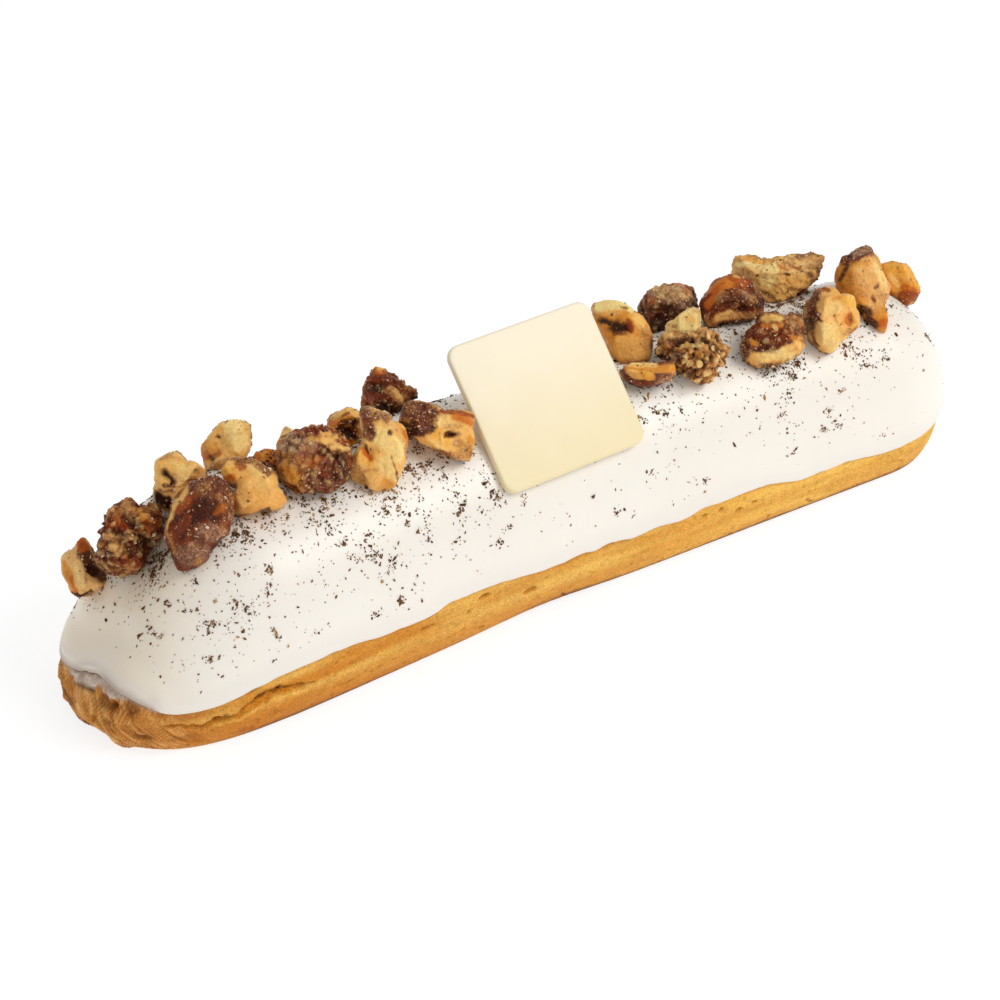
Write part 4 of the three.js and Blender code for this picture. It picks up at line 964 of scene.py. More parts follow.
     "outline": (4.2, 2.8, 2.4, 2.5, 2.9, 3.8, 3.3, 3.1, 3.2, 3.6, 3.5, 3.7, 4, 4.2, 3.2, 3.3),
     "faces": [(-0.6, 0.3, 3.2), (0.6, 0.5, 2.8)],
     "dents": [(25, -5, 25, 0.4), (-30, 15, 20, -0.5), (15, -65, 30, -0.5)],
     "marks": [("rust", -60, 60, -30, 50, 20, 80), ("rust", -85, -10, -50, -20, 20, 85),
               ("dark", -40, 15, -15, 20, 15, 90), ("umber", 0, 50, 30, 30, 20, 70),
               ("honey", 60, 30, 80, 20, 9, 50), ("plum", 60, -10, 90, -30, 16, 70),
               ("dark", -10, -55, 40, -75, 24, 100), ("tan", 15, 5, 45, -20, 15, 100),
               ("cream", 25, 0, 40, -15, 9, 80), ("amber", -30, 90, -20, 75, 13, 100),
               ("gold", -25, 88, -20, 82, 5, 90)]},
    {"middle": (-18.9, -5.5, 30.1), "depth": 4.2, "body": "cream", "crust": 0,
     "outline": (4.3, 5, 3.2, 2.5, 2.7, 3.4, 5.3, 5.4, 5, 3.4, 2.8, 2.6, 3, 4, 5.8, 5.1),
     "faces": [(0.3, -0.2, 2.7), (0, 1, 3)],
     "dents": [(-20, 10, 15, -0.4), (32, -20, 16, -0.5), (60, 30, 30, 0.3), (-60, 40, 30, 0.3)],
     "marks": [("gold", -10, -10, 10, -40, 20, 80), ("pale", 0, 20, 10, 10, 12, 60),
               ("tan", 20, 5, 50, 5, 10, 50), ("rust", 10, 55, 90, 38, 9, 95),
               ("amber", 40, 38, 85, 18, 10, 85), ("honey", 80, -30, 90, -40, 10, 85),
               ("tan", 30, -85, 80, -80, 12, 80), ("tan", 50, -50, 70, -60, 14, 60),
               ("skin", -40, -55, 30, -85, 5, 85), ("umber", 25, -20, 42, -20, 11, 100),
               ("dark", 30, -22, 36, -22, 5, 90), ("plum", -85, 60, -20, 45, 26, 100),
               ("plum", -90, 0, -50, 0, 24, 100), ("plum", -50, 30, -25, 2, 20, 100)]},
    {"middle": (16.6, 2.1, 30.3), "depth": 4.6, "body": "honey", "crust": 0,
     "outline": (3.8, 3.5, 3.6, 3.5, 4.2, 4.9, 6.2, 4.5, 3.4, 3, 3.1, 3.7, 4.8, 5.4, 5.1, 4.3),
     "faces": [(0.2, -0.2, 3.2), (-0.3, 0.8, 3.7)],
     "dents": [(-30, 15, 22, -0.8), (10, -30, 40, 0.3), (-40, 75, 35, 0.3)],
     "marks": [("cream", -10, -40, 60, -50, 32, 60), ("tan", 65, 0, 80, -40, 18, 60),
               ("umber", 88, -20, 92, -60, 9, 75), ("tan", 10, -85, 90, -90, 12, 70),
               ("gold", 25, 50, 50, 20, 14, 70), ("amber", 30, 65, 50, 60, 8, 95),
               ("dark", -75, 35, -10, 22, 9, 100), ("dark", -45, 10, 10, 10, 13, 100),
               ("rust", 10, 30, 20, 5, 8, 85), ("umber", -40, -8, 0, -5, 6, 70),
               ("pale", -75, 75, -20, 75, 22, 100), ("pale", -20, 85, 20, 70, 14, 100),
               ("honey", -50, 55, 0, 62, 6, 60), ("umber", -12, 70, 5, 68, 3, 85)]},
    {"middle": (30, 9.3, 26.9), "depth": 4.4, "body": "plum", "crust": 1, "knobs": 0.16, "crumbly": 0.4,
     "outline": (4.2, 4.2, 4.6, 4, 3.5, 3.5, 3.8, 4.1, 4.4, 3.9, 4.3, 4.9, 4.5, 4.4, 4.1, 4.1),
     "dents": [(-30, -20, 40, -0.5), (20, 50, 30, 0.4)],
     "marks": [("bloom", -40, 50, 30, 35, 34, 95), ("bloom", 30, 45, 70, 10, 22, 75),
               ("peach", -30, 60, 20, 40, 22, 45), ("rust", 10, 85, 60, 75, 15, 95),
               ("amber", 30, 80, 55, 85, 10, 80), ("amber", 50, 50, 70, 40, 8, 60),
               ("rust", -78, 20, -60, 25, 14, 70), ("umber", -45, -20, 0, -50, 34, 90),
               ("dark", -40, -50, -10, -80, 25, 90)]},
    {"middle": (26.8, 1.2, 29), "depth": 2.8, "body": "pale", "crust": 0, "dusted": 0.3,
     "outline": (2.1, 2.4, 3, 2.6, 2.1, 1.8, 1.7, 1.8, 2.9, 2.9, 2.3, 2.2, 2.2, 2.2, 2, 2.2),
     "faces": [(0, 0.2, 2), (-0.8, 0.2, 2.2)],
     "dents": [(-10, 10, 30, -0.2)],
     "marks": [("gold", 10, 50, 30, 20, 20, 50), ("tan", -62, -10, -52, -12, 7, 90),
               ("honey", 70, -40, 90, -50, 12, 70), ("skin", -60, -58, 30, -88, 5, 80)]},
    {"middle": (22.8, -6.1, 29.1), "depth": 3.8, "body": "tan", "crust": 0.6, "knobs": 0.34, "crumbly": 1,
     "outline": (4.8, 4.2, 3.8, 3.3, 2.5, 2.3, 3.7, 5.6, 5.2, 2.8, 2.7, 2.8, 3.2, 4.6, 4, 3.9),
     "dents": [(-30, 10, 22, -0.9), (10, -20, 20, -0.7), (50, 20, 20, -0.6), (20, -50, 20, 0.5),
               (30, 40, 20, 0.5)],
     "marks": [("tan", -90, 40, -70, 30, 15, 85), ("bloom", -90, -15, -40, -15, 11, 85),
               ("honey", -20, -15, 20, -10, 8, 60), ("umber", -30, -55, -5, -65, 9, 80),
               ("umber", 30, -30, 40, -32, 8, 70), ("umber", -70, 35, -30, 42, 6, 80),
               ("dark", -50, 28, -40, 33, 8, 95), ("dark", -12, 35, 0, 10, 9, 95),
               ("dark", 25, 30, 35, 35, 5, 80), ("dark", 50, 25, 62, 10, 9, 90),
               ("dark", 0, -55, 10, -50, 6, 80), ("umber", 75, -20, 80, -30, 6, 70),
               ("cream", -32, 28, -28, 20, 7, 80), ("cream", 10, 45, 20, 40, 8, 70),
               ("cream", 10, -30, 30, -20, 9, 80)]},
    {"middle": (14.9, -6.4, 28.4), "depth": 2.8, "body": "plum", "crust": 0.2,
     "outline": (3.9, 4.2, 2.2, 1.6, 1.5, 1.6, 2.1, 3.1, 4.5, 3.1, 2.4, 2.1, 2, 1.9, 2.1, 2.7),
     "faces": [(0, 1.4, 1.45)],
     "dents": [(20, 30, 30, -0.3)],
     "marks": [("honey", -60, 25, 60, 28, 30, 100), ("cream", -60, 0, -30, -30, 20, 95),
               ("gold", -15, 0, 0, -40, 18, 95), ("cream", -65, 50, 10, 55, 12, 90),
               ("honey", 30, 30, 85, 35, 14, 90), ("pale", -80, 64, 20, 68, 5, 85),
               ("umber", -92, 30, -65, -50, 7, 85), ("rust", -45, -80, 0, -70, 10, 80),
               ("bloom", 20, -55, 60, -40, 15, 50)]},
    {"middle": (35.7, 2, 29.8), "depth": 4.4, "body": "skin", "crust": 0.35,
     "outline": (4.8, 3.7, 4.1, 4, 4, 3.9, 3.8, 3.6, 4.4, 4.5, 5.1, 3.5, 3.1, 3.2, 3.8, 4.8),
     "faces": [(0.1, -0.6, 3.2)],
     "dents": [(10, -20, 30, -0.4), (-40, 40, 35, 0.3)],
     "marks": [("amber", -55, 40, -10, 65, 20, 100), ("rust", 0, 75, 30, 60, 20, 95),
               ("amber", -75, -15, -45, 30, 13, 95), ("gold", 5, 90, 20, 85, 5, 60),
               ("tan", -42, -5, -30, 20, 10, 70), ("umber", 60, 50, 80, -10, 14, 80),
               ("plum", -20, 0, 80, 8, 28, 95), ("bloom", 30, 15, 45, 5, 10, 50),
               ("dark", 20, -35, 35, -30, 10, 85), ("umber", -38, -17, 0, -5, 7, 80),
               ("cream", -45, -60, -10, -50, 15, 90), ("tan", 0, -55, 80, -55, 11, 90),
               ("tan", -80, -60, -70, -80, 12, 80), ("umber", -40, -84, 30, -74, 5, 95)]},
    {"middle": (47.7, 6, 29.1), "depth": 4.5, "body": "cream", "crust": 0, "crumbly": 0.5, "dusted": 5,
     "outline": (5.8, 7.4, 4.3, 3.2, 2.8, 2.8, 3.5, 7.2, 6.8, 4.5, 4.7, 4.7, 4.4, 3.9, 4.1, 4.7),
     "faces": [(0, 1.2, 2.3), (0, -0.4, 3.4)],
     "dents": [(-35, 50, 25, -0.6), (45, 30, 35, -0.8), (-20, 0, 30, 0.3)],
     "marks": [("honey", -70, 52, -5, 60, 10, 85), ("pale", -85, 35, 0, 30, 10, 95),
               ("pale", -20, 10, -30, -30, 18, 70), ("umber", -30, 64, 0, 62, 3, 80),
               ("tan", 30, 30, 80, 50, 28, 75), ("peach", 30, 15, 60, 10, 16, 80),
               ("peach", 50, 45, 60, 50, 10, 80), ("plum", 50, 68, 95, 78, 11, 85),
               ("plum", 87, 30, 90, -10, 9, 90), ("plum", 60, -5, 80, -20, 9, 60),
               ("amber", -2, 30, 10, 10, 5, 80), ("umber", 5, 0, 15, -5, 5, 95),
               ("rust", 30, 35, 40, 30, 4, 80), ("umber", 50, 20, 55, 15, 4, 70),
               ("cream", 10, -30, 40, -35, 10, 85), ("umber", 20, -50, 40, -55, 4, 70),
               ("skin", 20, -87, 80, -35, 6, 95), ("umber", -45, -55, 0, -92, 5, 80)]},
    {"middle": (35.7, -7.9, 28), "depth": 4.2, "body": "skin", "crust": 0.8, "knobs": 0.14, "crumbly": 0.4,
     "outline": (4.4, 4.6, 5, 3.7, 3.8, 4.1, 3.3, 3.6, 4.3, 4.9, 4.9, 4, 3.5, 3.5, 3.6, 4.1),
     "faces": [(0.2, -0.7, 3)],
     "dents": [(-5, 70, 22, 0.4), (0, 15, 30, -0.5)],
     "marks": [("rust", -30, 40, 40, 20, 20, 50), ("plum", 60, 85, 90, 30, 14, 80),
               ("tan", 50, 75, 80, 60, 13, 60), ("gold", -18, 78, 12, 74, 16, 100),
               ("amber", -35, 50, 20, 50, 5, 80), ("peach", -5, 45, 0, 40, 5, 80),
               ("honey", -72, -10, -60, -20, 11, 90), ("dark", -20, 25, 10, 10, 7, 80),
               ("honey", 50, 10, 70, 0, 10, 80), ("umber", -90, -60, -50, -35, 10, 80),
               ("cream", -60, -72, 40, -56, 20, 100), ("cream", 30, -40, 80, -25, 20, 100),
               ("pale", -40, -68, 50, -50, 20, 70), ("tan", 88, 0, 88, -40, 5, 80)]},
    {"middle": (46.5, -7.7, 28.3), "depth": 4.1, "body": "cream", "crust": 0,
     "outline": (4.3, 3.9, 4.6, 3.8, 4.7, 4.7, 3.9, 4.2, 3.6, 3.6, 4.2, 4.7, 5, 3.6, 3.5, 4),
     "faces": [(0.1, 0, 2.6), (-1, 0.2, 3)],
     "dents": [(55, -5, 25, -0.5), (-20, -30, 30, 0.3), (10, 50, 20, -0.3)],
     "marks": [("pale", -20, -40, 0, -80, 20, 60), ("pale", -20, 20, 10, 30, 20, 40),
               ("honey", 0, 55, 30, 60, 9, 75), ("gold", 40, 50, 80, 40, 11, 70),
               ("honey", 35, -30, 50, -10, 17, 60), ("amber", 60, 2, 55, -12, 11, 80),
               ("rust", 60, -2, 62, -10, 6, 70), ("tan", 30, -50, 90, -32, 6, 80),
               ("plum", -85, 60, -62, 0, 20, 100), ("plum", -50, 75, -62, 50, 14, 95),
               ("dark", -80, -10, -72, -30, 12, 85), ("skin", -67, -45, -50, -85, 6, 90),
               ("rust", -30, 86, -15, 80, 9, 95), ("umber", -45, -8, -40, -12, 4, 80),
               ("umber", 2, 5, 4, 4, 3, 80)]},
    {"middle": (56.2, -3.8, 29.2), "depth": 4.3, "body": "honey", "crust": 0,
     "outline": (3.8, 3.2, 3.3, 4.8, 5.8, 5, 5.1, 4.6, 4.2, 3.3, 3, 3.3, 5.5, 7.6, 4.1, 3.9),
     "faces": [(0.1, -0.1, 2.8), (-0.2, 1.2, 4.6)],
     "dents": [(50, -20, 30, -0.4), (-30, 20, 40, 0.2), (15, -55, 20, -0.5)],
     "marks": [("peach", 0, 30, 40, -20, 40, 60), ("tan", -50, 5, -20, -15, 22, 40),
               ("pale", 30, 30, 60, 10, 14, 60), ("honey", -50, 40, 10, 45, 6, 70),
               ("tan", 40, -20, 70, -30, 10, 60), ("plum", -75, 50, 20, 78, 13, 100),
               ("bloom", -40, 60, 10, 76, 7, 80), ("honey", 30, 75, 35, 60, 6, 85),
               ("umber", -70, 40, -92, 10, 6, 90), ("umber", 25, -7, 35, -5, 3.5, 85),
               ("skin", 15, -30, 25, -35, 5, 95), ("dark", -30, -55, 10, -60, 10, 95),
               ("umber", 0, -75, 30, -85, 10, 95), ("amber", 50, -82, 78, -84, 10, 100),
               ("umber", -20, 28, -18, 26, 3, 70)]},
    {"middle": (67.8, 1.4, 23.9), "depth": 3.5, "body": "honey", "crust": 0,
     "outline": (2.8, 2.7, 2.8, 3.2, 3.2, 3.7, 4.2, 3.3, 2.7, 2.9, 3.3, 3.4, 3.4, 3.7, 3.8, 3.6),
     "faces": [(-0.2, 0.2, 2.6)],
     "dents": [(-20, -10, 30, -0.3)],
     "marks": [("gold", -40, 60, 30, 50, 30, 60), ("gold", 70, 20, 80, -10, 16, 70),
               ("amber", 20, -30, 60, -40, 20, 80), ("rust", 10, -60, 70, -60, 22, 90),
               ("rust", -20, -80, 40, -90, 12, 85), ("umber", 92, -55, 100, -80, 10, 80),
               ("cream", -42, 27, -25, 5, 12, 100), ("cream", -15, 0, -10, -12, 9, 95),
               ("umber", 50, 15, 50, 12, 5, 70)]},
    {"middle": (-35.7, 4.5, 28.6), "depth": 2, "body": "peach", "crust": 0,
     "outline": (2.1, 3.5, 1.9, 1.5, 1.6, 2.1, 1.9, 1.8, 2, 2.2, 2.4, 2.2, 1.8, 1.5, 1.4, 1.6),
     "faces": [(0, 0.3, 1.5)],
     "marks": [("honey", -50, 0, -45, -40, 12, 70), ("plum", 0, 20, 60, -20, 30, 70),
               ("umber", -40, 25, 20, 65, 5, 95)]},
]


# distance from points of a plane to a line between two of them
def segmentDistance(u, v, u0, v0, u1, v1):
    du, dv = u1 - u0, v1 - v0
    share = np.clip(((u - u0) * du + (v - v0) * dv) / max(1e-9, du * du + dv * dv), 0, 1)
    return np.hypot(u - u0 - share * du, v - v0 - share * dv)


# how much of its reach a sugared nut keeps: all on round knobs that stand in a spiral, less between them
def knobSwell(index, turn, rise):
    look = nutLook
    k = np.arange(look["knobCount"])
    level = 1 - 2 * (k + 0.5) / look["knobCount"]
    swing, wide = index + k * math.pi * (3 - math.sqrt(5)), np.sqrt(1 - level**2)
    knobs = np.stack([wide * np.cos(swing), wide * np.sin(swing), level], -1)
    ball = np.stack([np.cos(rise) * np.cos(turn), np.cos(rise) * np.sin(turn), np.sin(rise) + 0 * turn], -1)
    nearest = np.maximum(0, ball @ knobs.T).max(-1) ** look["knobSharpness"]
    return 1 - nuts[index]["knobs"] * (1 - nearest) * np.abs(np.sin(rise))


# planes that chip and split a nut: share of its reach, tilt, angle about the sight, side, and whether skinned
def breakPlanes(index):
    look, planes = nutLook, []
    for k in range(look["chipCount"] * ("knobs" not in nuts[index])):
        angle = 2 * math.pi * k / look["chipCount"] + look["chipTurn"] * index
        planes.append((look["chipShare"], look["chipTilt"], angle, 1, False))
    random = np.random.default_rng(look["splitSeed"] + index)
    for k in range(look["splits"]):
        tilt = random.uniform(*look["splitTilt"])
        share, angle = random.uniform(*look["splitShare"]), random.uniform(0, 2 * math.pi)
        side = -1 if k % 3 == 2 else 1  # every third one is behind
        planes.append((share, tilt, angle, side, tilt > look["skinnedFrom"]))
    return planes


# a ball grid about the line of sight: outline radius by angle and depth, both by a power of the ball's own;
# then drawn in by every cut, chip, split or parting plane with 1 / (1 + sum of (height over the plane's
# distance) to a power), the power's root taken
def nutBody(index):
    look, nut = nutLook, nuts[index]
    turn = np.linspace(0, 2 * math.pi, look["columns"], endpoint=False)[None, :]
    rise = np.linspace(-math.pi / 2, math.pi / 2, look["rows"])[:, None]
    angles = np.arange(len(nut["outline"]) + 1) * math.pi / 8
    radius = np.interp(turn, angles, (*nut["outline"], nut["outline"][0]))
    flat = np.cos(rise) ** look["fullness"]
    near = np.sign(np.sin(rise)) * np.abs(np.sin(rise)) ** look["fullness"]
    swell = knobSwell(index, turn, rise) if "knobs" in nut else np.ones((look["rows"], look["columns"]))
    reach = (swell * radius * flat)[..., None]
    arm = reach * (np.cos(turn)[..., None] * shotRight + np.sin(turn)[..., None] * shotUp)
    arm = arm + (swell * nut["depth"] * near)[..., None] * shotBack
    cut, part, skin = np.zeros((3, *swell.shape))
    for right, up, distance in nut.get("faces", []):
        face = shotBack + right * shotRight + up * shotUp
        cut = cut + np.maximum(0, arm @ face / np.linalg.norm(face) / distance) ** look["cutSharpness"]
    for share, tilt, angle, side, skinned in breakPlanes(index):
        face = side * shotBack + tilt * (math.cos(angle) * shotRight + math.sin(angle) * shotUp)
        height = arm @ face
        term = np.maximum(0, height / (share * height.max())) ** look["cutSharpness"]
        cut, skin = cut + term, skin + term * skinned
    arm = arm * ((1 + cut) ** (-1 / look["cutSharpness"]))[..., None]
    skin = skin / (1 + cut)
    for other in nuts:
        between = np.array(other["middle"]) - np.array(nut["middle"])
        apart = np.linalg.norm(between)
        own, rest = np.mean(nut["outline"]), np.mean(other["outline"])
        if other is nut or apart > look["partingReach"] * (own + rest):
            continue
        distance = apart * own / (own + rest) - bun["gap"] / 2
        part = part + np.maximum(0, arm @ between / apart / distance) ** look["partSharpness"]
    return arm * ((1 + part) ** (-1 / look["partSharpness"]))[..., None], skin


# relief is the sum of broken faces, crust grains and lumps, crumbs, flesh grain, dents and the marks' own
# standing
def makeNut(index, material):
    look, nut = nutLook, nuts[index]
    arm, skin = nutBody(index)
    u, v, w = (arm @ axis for axis in (shotRight, shotUp, shotBack))
    u, v, w = u / np.abs(u).max(), v / np.abs(v).max(), w / np.abs(w).max()
    seen = ramp(w, *look["seenStep"])
    place = arm + np.array(nut["middle"])
    own = place + look["noiseShift"] * index
    normals = gridNormals(place)
    normals[0], normals[-1] = -shotBack, shotBack

    def noise(name):
        return layeredNoise(own, *look["noises"][name])

    facets = brokenFacets(own, look["facetSpan"], look["facetSeed"])
    # a random mottle plus painted light on the broken faces' crests and on faces turned up, and painted shade
    # in their hollows and on faces turned down
    mottleAndShading = noise("mottleAndShading") + 0.2 * facets + look["topLightTone"] * (normals[..., 2] - 0.3)
    plain = {name: linear(values[0]) for name, values in look["colours"].items()}

    def toned(name):
        _, low, high = look["colours"][name]
        uneven = 0.45 + 0.35 * look["crusty"].get(name, (0, 0))[0]
        tint = mixed(plain[name], plain[low], uneven * smoothStep(-1.7 * mottleAndShading - 0.1))
        return mixed(tint, plain[high], uneven * smoothStep(1.7 * mottleAndShading - 0.1))

    # unseen sides carry patches of sugared skin; then come the marks in their order
    tint = toned(nut["body"])
    crust, stands = np.full(w.shape, float(nut["crust"])), np.zeros(w.shape)
    wild = look["wildShare"] * (1 - seen) * ramp(noise("wild"), *look["wildStep"])
    marks = [("plum", wild), ("tan", look["skinShare"] * skin * smoothStep(0.5 + 1.5 * noise("skin")))]
    for colour, *percent in nut["marks"]:
        *line, width, strength = (value / 100 for value in percent)
        jitter = layeredNoise(own, 0.5 + 4 * width, look["markSeed"] + len(marks), 3)
        away = segmentDistance(u, v, *line) + (0.035 + 0.42 * width) * jitter
        marks.append((colour, strength * seen * smoothStep((width - away) / (0.06 + 0.4 * width) + 0.5)))
    for colour, mask in marks:
        grains, rise = look["crusty"].get(colour, (0, 0))
        tint = mixed(tint, toned(colour), mask)
        crust = crust * (1 - mask) + grains * mask
        stands = stands * (1 - mask) + rise * mask

    grain, grainOwn = nearestGrain(own, look["crustSpan"], look["crustSeed"])
    lump, lumpOwn = nearestGrain(own, look["lumpSpan"], look["lumpSeed"])
    crumb, crumbOwn = nearestGrain(own, look["crumbSpan"], look["crumbSeed"])
    crumb = crumb + 0.35 * noise("crumb")
    relief = look["facetSlope"] * look["facetSpan"] * facets * (1 - 0.4 * crust) + stands
    relief = relief + crust * look["crustGrain"] * (smoothStep(1.15 - grain) * (0.4 + grainOwn) - 0.5)
    relief = relief + crust * look["lumps"] * (smoothStep(1.2 - lump) * (0.5 + 0.7 * lumpOwn) - 0.5)
    relief = relief + (1 - crust) * look["fleshGrain"] * noise("flesh")
    crumbly = nut.get("crumbly", 0)
    crumbly = crumbly * (crumbly + (1 - crumbly) * smoothStep(crust / 0.5))
    crust = crust * (1 - 0.6 * crumbly)
    crumbTop = smoothStep(1.6 - 1.4 * crumb) * (0.5 + 0.6 * crumbOwn)
    crumbTop = crumbTop + 0.9 * brokenFacets(own, look["crumbSpan"], look["crumbSeed"])
    relief = relief + crumbly * look["crumbRise"] * (crumbTop - 0.5)
    for *percent, height in nut.get("dents", []):
        right, up, width = (value / 100 for value in percent)
        relief = relief + height * seen * hump(np.hypot(u - right, v - up) / width)
    place = place + normals * relief[..., None]
    floor = icingHeight(place[..., 0], place[..., 1]) + look["clearance"]
    place[..., 2] = np.maximum(place[..., 2], floor)
    place[0], place[-1] = place[0].mean(0), place[-1].mean(0)

    # painted shade between the crust grains, then crumbs that are pale or brown on top with painted shade in
    # their gaps
    paleTop = 0.9 * crumbly * smoothStep(1.1 - 1.6 * crumb) * smoothStep(1.8 * crumbOwn - 0.6)
    tint = mixed(tint, plain["dark"], 0.4 * crust * smoothStep(1.9 * grain - 1))
    tint = mixed(tint, plain["pale"], paleTop)
    tint = mixed(tint, plain["umber"], 0.6 * crumbly * smoothStep(0.5 - 1.6 * crumbOwn))
    tint = mixed(tint, plain["dark"], 0.85 * crumbly * smoothStep(2.6 * crumb - 1.15))
    name = "nut_%02d" % (index + 1)
    faces = gridFaces(look["rows"], look["columns"])
    piece = makePiece(name + "Chopped", place, faces, material, tint, {"crust": crust})
    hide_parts(name)
    return place, gridNormals(place), crust


nutMaterial = foodMaterial("choppedNut", nutLook)
nutSurfaces = [makeNut(index, nutMaterial) for index in range(len(nuts))]
print("nuts done,", len(nuts))

# dust: fine nut meal in shreds and clumps over the icing and the nuts, thickest along the nuts, larger
# crumbs, and grains of sugar on the nuts' crusts; sizes are (middle, spread)
dustLook = {
    "seed": 5, "fine": 8200, "clumps": 520, "members": (6, 26), "clumpReach": 0.45, "onNuts": 34,
    "crumbs": 150, "sugarCount": 780, "fineSize": (0.098, 0.42), "crumbSize": (0.22, 0.35),
    "sugarSize": (0.085, 0.45), "nutShare": 0.75, "largest": 0.3, "flatness": 0.6, "lift": 0.25,
    "jitter": 0.3, "spokes": (0.7, 0.6), "longest": 0.6,
    "clumpPower": 1.2, "clumpSpread": 0.6, "clumpDraw": 0.8,
    "thins": 3.2, "crumbThins": 0.9, "least": 0.035, "leastCrumbs": 0.004, "edgeClear": 2.2,
    "nutOverlap": 0.7, "plaqueClear": 4, "patchSpan": 2.6, "patchSeed": 77, "patches": (0.15, 1.6),
    # amount, then start and span along the bun and up
    "broadHalf": (0.11, -12, 14, 11, 6), "broadEnd": (0.05, -52, 8, 9, 4),
    "broadTip": (0.85, -63, 4, 16, 4), "slimTip": (0.6, 54, 6),
    # amount, middle and reach along the bun or across the plaque, then start and span up or half height
    "openField": (0.09, -31, 13, 13, 5), "besidePlaque": (0.25, -12, 2.5, 12),
    "brown": (130, 90, 50), "deep": (78, 48, 24), "tan": (190, 150, 100), "gold": (222, 172, 92),
    "sugar": (246, 216, 182), "caramel": (212, 146, 88), "tanFrom": 0.88,
    "grainScale": 3000, "grainTone": 0.5, "roughness": (0.6, 0.8), "bump": 0.3, "bumpHeight": 0.1,
    "specular": 0.15, "subsurface": 0, "subsurfaceRadius": (1, 1, 1), "subsurfaceDepth": 1,
}


# random places on a closed grid: cells drawn by area times wish, then a random point inside each
def scatter(points, normals, wish, count, random):
    here, right = points[:-1], np.roll(points, -1, axis=1)[:-1]
    above = points[1:]
    area = np.linalg.norm(np.cross(right - here, above - here), axis=-1)
    weight = (area * wish[:-1]).ravel()
    chosen = random.choice(weight.size, count, p=weight / weight.sum())
    row, column = np.unravel_index(chosen, area.shape)
    a, b = random.random((2, count, 1))
    place = here[row, column] + a * (right - here)[row, column] + b * (above - here)[row, column]
    return place, normals[row, column]


# every speck is an eight-sided ball, jittered, drawn out along a random way of its surface and half sunk
def makeSpecks(name, place, normal, size, tint, material, random):
    look, count = dustLook, len(place)
    ball = np.array([(1, 0, 0), (0, 1, 0), (-1, 0, 0), (0, -1, 0), (0, 0, 1), (0, 0, -1)], float)
    faces = np.array([(0, 1, 4), (1, 2, 4), (2, 3, 4), (3, 0, 4), (1, 0, 5), (2, 1, 5), (3, 2, 5), (0, 3, 5)])
    shortest, longer = look["spokes"]
    shape = ball * (shortest + longer * random.random((count, 6, 1)))
    shape = shape + look["jitter"] * random.normal(size=(count, 6, 3))
    side = np.cross(normal, random.normal(size=(count, 3)))
    side = side / np.linalg.norm(side, axis=-1, keepdims=True)
    third = np.cross(normal, side)
    long = 1 + look["longest"] * random.random((count, 1, 1))
    shape = (
        shape[..., :1] * side[:, None] * long + shape[..., 1:2] * third[:, None] / np.sqrt(long)
        + shape[..., 2:] * normal[:, None] * look["flatness"]
    )
    points = place[:, None] + (normal[:, None] * look["lift"] + shape) * size[:, None, None]
    allFaces = (faces[None] + 6 * np.arange(count)[:, None, None]).reshape(-1, 3)
    piece = makePiece(name, points, allFaces, material, np.repeat(tint[:, None], 6, 1), merge=False)
    print(name, "done,", count, "specks")


# the wish for dust falls off with the distance to the nearest nut, by the thinning length; there is more
# beside the plaque and over the broad half, less on both tips, none under nuts or plaque or at the icing's
# edge, and a noise makes it patchy; crumbs keep closer to the nuts
def dustWish(points):
    look = dustLook
    x, z = points[..., 0], points[..., 2]
    gaps = []
    for nut in nuts:
        gaps.append(np.linalg.norm(points - np.array(nut["middle"]), axis=-1) - np.mean(nut["outline"]))
    gapTo = np.min(gaps, axis=0)
    middle, wide, high, normal = plaqueFrame()
    right, up, out = ((points - middle) @ axis for axis in (wide, high, normal))
    underPlaque = (np.abs(right) < plaqueLook["width"] / 2) & (np.abs(up) < plaqueLook["height"] / 2)
    underPlaque = underPlaque & (np.abs(out) < look["plaqueClear"])
    bare = (gapTo > -look["nutOverlap"]) & ~underPlaque & (z - z[:1] > look["edgeClear"])
    gapTo = np.maximum(0, gapTo)
    amount, at, reach, half = look["besidePlaque"]
    besidePlaque = hump((right - at) / reach) * (np.abs(up) < half)
    wish = np.exp(-gapTo / look["thins"]) + look["least"] + amount * besidePlaque
    for amount, start, span, low, climb in (look["broadHalf"], look["broadEnd"]):
        wish = wish + amount * fall(x, start, span) * ramp(z, low, climb)
    amount, at, reach, low, climb = look["openField"]
    wish = wish + amount * hump((x - at) / reach) * ramp(z, low, climb)
    amount, start, span, top, drop = look["broadTip"]
    wish = wish * (1 - amount * fall(x, start, span) * fall(z, top, drop))
    amount, start, span = look["slimTip"]
    wish = wish * (1 - amount * ramp(x, start, span))
    least, more = look["patches"]
    wish = wish * (least + more * latticeNoise(points / look["patchSpan"], look["patchSeed"]) ** 2) * bare
    return wish, (np.exp(-gapTo / look["crumbThins"]) + look["leastCrumbs"]) * bare


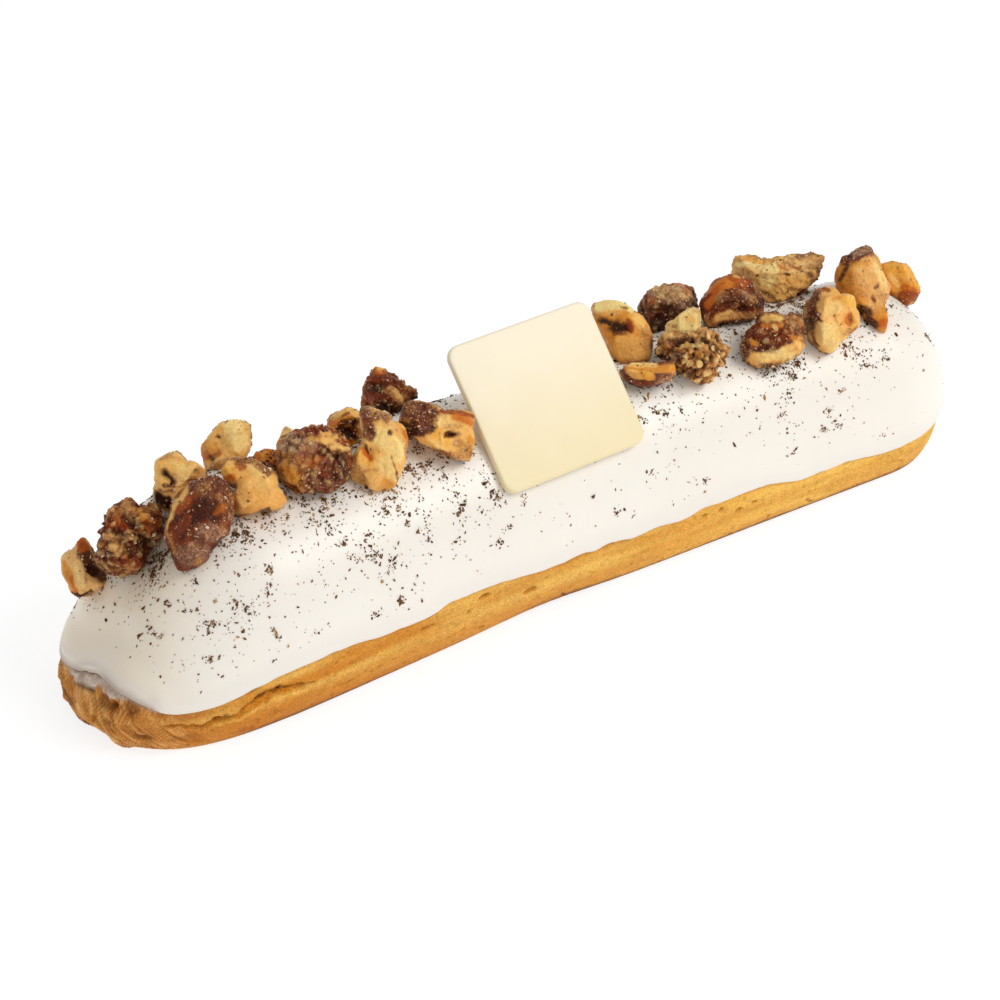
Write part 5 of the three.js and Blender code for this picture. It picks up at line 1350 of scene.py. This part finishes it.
# single specks and clumps on the icing, each clump drawn out along one random way, and specks on the nuts'
# tops; then the crumbs, and the sugar by each nut's own crust
def makeDust(icingPoints, icingNormals):
    look = dustLook
    random, material = np.random.default_rng(look["seed"]), foodMaterial("nutMeal", look)
    wish, crumbWish = dustWish(icingPoints)

    def sizesOf(kind, count):
        middle, spread = look[kind]
        return np.minimum(look["largest"], middle * np.exp(spread * random.normal(size=count)))

    def shades(first, second, count):
        return painted(linear(look[first]), look[second], random.random(count))

    place, normals = scatter(icingPoints, icingNormals, wish, look["fine"], random)
    clumpWish = wish ** look["clumpPower"]
    heart, heartNormal = scatter(icingPoints, icingNormals, clumpWish, look["clumps"], random)
    members = random.integers(*look["members"], look["clumps"])
    clumpNormal = np.repeat(heartNormal, members, 0)
    drawn = np.repeat(random.normal(size=(look["clumps"], 3)), members, 0)
    spread = random.normal(size=drawn.shape) * look["clumpSpread"]
    spread = spread + drawn * random.normal(size=(len(drawn), 1)) * look["clumpDraw"]
    spread = look["clumpReach"] * (spread - clumpNormal * (spread * clumpNormal).sum(-1, keepdims=True))
    specks = [(place, normals), (np.repeat(heart, members, 0) + spread, clumpNormal)]
    for nut, (points, nutNormals, _) in zip(nuts, nutSurfaces):
        count = int(look["onNuts"] * nut.get("dusted", 1))
        specks.append(scatter(points, nutNormals, np.maximum(0, nutNormals[..., 2] + 0.1), count, random))
    place, normals = (np.concatenate(part) for part in zip(*specks))
    shade = random.random(len(place))
    tint = painted(linear(look["deep"]), look["brown"], shade * 1.2)
    tint = painted(tint, look["tan"], (shade > look["tanFrom"]) * 1.0)
    size = sizesOf("fineSize", len(place))
    size[look["fine"] + members.sum():] *= look["nutShare"]
    makeSpecks("nutDust", place, normals, size, tint, material, random)

    place, normals = scatter(icingPoints, icingNormals, crumbWish, look["crumbs"], random)
    tint = shades("brown", "gold", len(place))
    makeSpecks("nutCrumbs", place, normals, sizesOf("crumbSize", len(place)), tint, material, random)
    grown = [scatter(*nut, int(look["sugarCount"] * nut[2].mean()), random) for nut in nutSurfaces]
    place, normals = (np.concatenate(part) for part in zip(*grown))
    tint = shades("sugar", "caramel", len(place))
    makeSpecks("nutSugar", place, normals, sizesOf("sugarSize", len(place)), tint, material, random)


makeDust(*icingSurface)

# studio: white floor, white surroundings and one broad soft light from the upper right
studio = {
    "floor": (150, 150, 150), "floorGlow": 0.8, "floorSize": 3000, "floorRoughness": 0.9,
    "floorSpecular": 0.1, "world": 0.54,
    "keyFrom": (260, -330, 420), "keyAt": (0, 0, 10), "keySize": 300, "keyPower": 1.5,
}


# the turn that points an object's own axis from one place to another
def aimed(start, target, axis):
    return (Vector(target) - Vector(start)).to_track_quat(axis, "Y").to_euler()


def makeStudio():
    white, half = (1, 1, 1, 1), studio["floorSize"] / 2
    corners = np.array([(-half, -half, 0), (half, -half, 0), (half, half, 0), (-half, half, 0)])
    mesh = bpy.data.meshes.new("floor")
    mesh.from_pydata((corners * toMetres).tolist(), [], [(0, 1, 2, 3)])
    material = bpy.data.materials.new("floorWhite")
    material.use_nodes = True
    shader = material.node_tree.nodes["Principled BSDF"]
    for title, value in (
        ("Base Color", (*linear(studio["floor"]), 1)), ("Roughness", studio["floorRoughness"]),
        ("Specular IOR Level", studio["floorSpecular"]),
        ("Emission Color", white), ("Emission Strength", studio["floorGlow"]),
    ):
        shader.inputs[title].default_value = value
    mesh.materials.append(material)
    floor = bpy.data.objects.new("floor", mesh)
    bpy.context.scene.collection.objects.link(floor)
    world = bpy.data.worlds.new("studio")
    world.use_nodes = True
    surroundings = world.node_tree.nodes["Background"]
    surroundings.inputs["Color"].default_value = white
    surroundings.inputs["Strength"].default_value = studio["world"]
    bpy.context.scene.world = world
    lamp = bpy.data.lights.new("key", "AREA")
    lamp.shape = "DISK"
    lamp.size = studio["keySize"] * toMetres
    lamp.energy = studio["keyPower"]
    key = bpy.data.objects.new("key", lamp)
    key.location = Vector(studio["keyFrom"]) * toMetres
    key.rotation_euler = aimed(studio["keyAt"], studio["keyFrom"], "Z")
    bpy.context.scene.collection.objects.link(key)
    bpy.context.scene.view_settings.view_transform = "Standard"


def makeCamera():
    camera = bpy.data.objects.new("camera", bpy.data.cameras.new("camera"))
    camera.data.lens, camera.data.sensor_width = shot["lens"], shot["sensor"]
    camera.data.clip_start = shot["nearest"] * toMetres
    camera.location = Vector(shot["from"]) * toMetres
    camera.rotation_euler = aimed(shot["from"], shot["at"], "-Z")
    bpy.context.scene.collection.objects.link(camera)
    bpy.context.scene.camera = camera


makeStudio()
makeCamera()
print("studio done")
